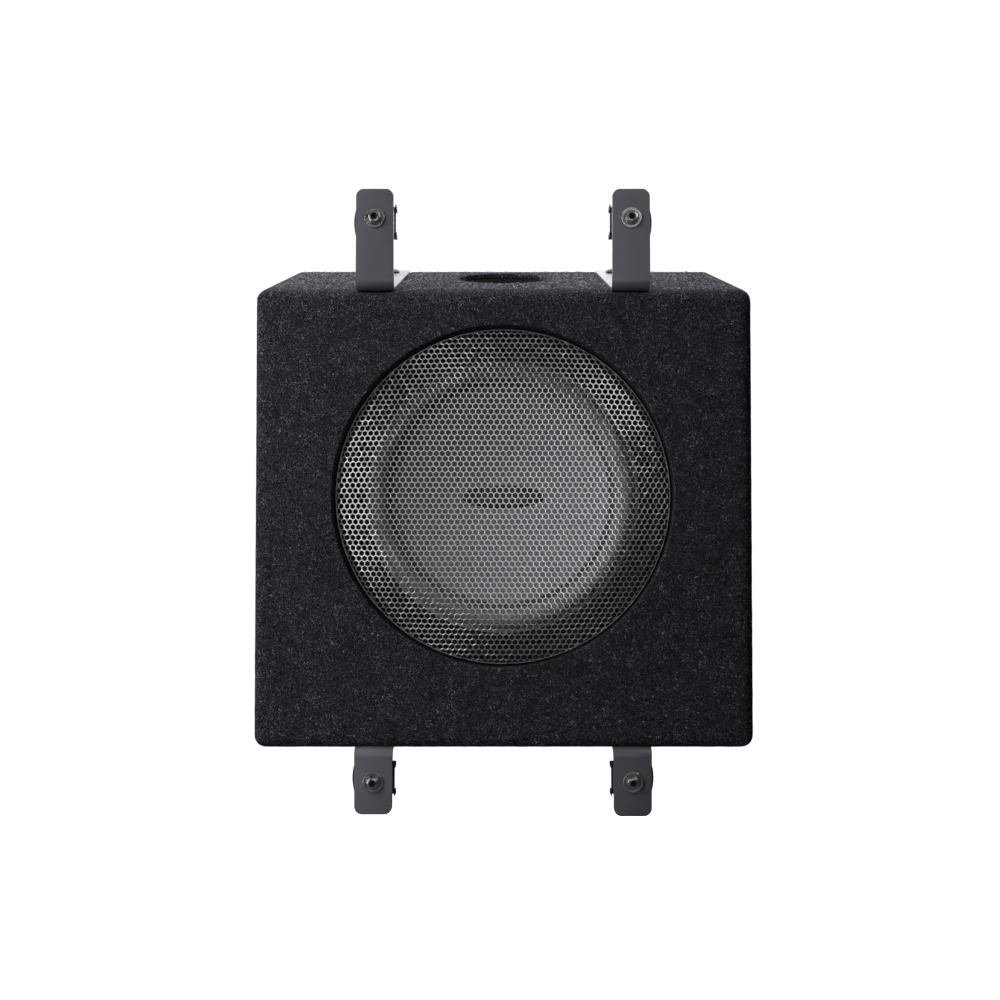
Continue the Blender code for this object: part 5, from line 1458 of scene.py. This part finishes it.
def area_light(name, place, size, power, target=(0.0, 0.0, 0.0), diffuse=True, glossy=True):
    light = bpy.data.lights.new(name, "AREA")
    light.shape = "RECTANGLE"
    light.size, light.size_y = size
    light.energy = power
    obj = bpy.data.objects.new(name, light)
    obj.location = place
    obj.rotation_euler = (Vector(target) - Vector(place)).to_track_quat("-Z", "Y").to_euler()
    obj.visible_diffuse = diffuse
    obj.visible_glossy = glossy
    bpy.context.scene.collection.objects.link(obj)


def camera_only(tree, seen, unseen):
    """Shows one shader to the camera and another to everything else."""
    path = tree.nodes.new("ShaderNodeLightPath")
    blend = tree.nodes.new("ShaderNodeMixShader")
    tree.links.new(path.outputs["Is Camera Ray"], blend.inputs[0])
    tree.links.new(unseen.outputs[0], blend.inputs[1])
    tree.links.new(seen.outputs[0], blend.inputs[2])
    return blend


def make_studio():
    area_light("key_left", (-0.60, -0.40, 0.50), (0.6, 0.6), 5.7, glossy=False)
    area_light("left_strip", (-0.72, -0.62, 0.02), (0.16, 0.9), 2.7)
    area_light("top_strip", (0.0, -0.75, 0.72), (0.8, 0.14), 0.5, diffuse=False)
    area_light("right_strip", (0.72, -0.62, 0.05), (0.12, 0.7), 0.05, diffuse=False)
    area_light("front_card", (0.05, -1.5, 0.1), (0.6, 0.6), 1.75, diffuse=False)
    area_light("upper_right", (0.65, -0.48, 0.55), (0.4, 0.4), 1.75, diffuse=False)
    area_light("overhead", (0.0, 0.35, 0.85), (1.2, 0.6), 10.5, (0.0, 0.05, 0.1))
    area_light("rear_fill", (0.6, 1.5, 0.5), (1.2, 1.2), 5.0, (0.0, 0.1, 0.0))
    area_light("rear_glow", (0.0, 1.5, 0.85), (2.4, 0.7), 13.0, (0.0, 0.1, 0.15))

    world = bpy.data.worlds.new("studio")
    world.use_nodes = True
    tree = world.node_tree
    soft = tree.nodes["Background"]
    soft.inputs["Color"].default_value = (0.95, 0.96, 1.0, 1.0)
    soft.inputs["Strength"].default_value = AMBIENT
    white = tree.nodes.new("ShaderNodeBackground")
    white.inputs["Color"].default_value = (1.0, 1.0, 1.0, 1.0)
    white.inputs["Strength"].default_value = BACKDROP
    blend = camera_only(tree, white, soft)
    tree.links.new(blend.outputs[0], tree.nodes["World Output"].inputs[0])
    bpy.context.scene.world = world

    floor = bmesh.new()
    bmesh.ops.create_grid(floor, x_segments=2, y_segments=2, size=FLOOR_REACH)
    floor = as_object("floor", floor)
    floor.location = (0.0, 0.0, FLOOR_Z)
    pale = Surface("pale_floor", 0.9)
    tone = pale.mix(pale.noise(0.5), (0.88, 0.88, 0.88), (0.92, 0.92, 0.92))
    pale.feed(pale.shader, "Base Color", tone)
    glow = pale.node("ShaderNodeEmission", {"Strength": 1.0})
    lit = pale.node("ShaderNodeAddShader")
    pale.tree.links.new(glow.outputs[0], lit.inputs[0])
    pale.tree.links.new(pale.shader.outputs[0], lit.inputs[1])
    dim = pale.node("ShaderNodeBsdfDiffuse", {"Color": (0.15, 0.15, 0.155, 1.0)})
    blend = camera_only(pale.tree, lit, dim)
    output = pale.tree.nodes["Material Output"]
    pale.tree.links.new(blend.outputs[0], output.inputs["Surface"])
    floor.data.materials.append(pale.material)

    camera = bpy.data.cameras.new("camera")
    camera.lens = LENS_MM
    camera.sensor_width = 36.0
    viewer = bpy.data.objects.new("camera", camera)
    viewer.location = CAMERA_PLACE
    viewer.rotation_euler = (CAMERA_PITCH, 0.0, 0.0)
    bpy.context.scene.collection.objects.link(viewer)
    bpy.context.scene.camera = viewer
    bpy.context.scene.view_settings.view_transform = "Standard"


make_studio()
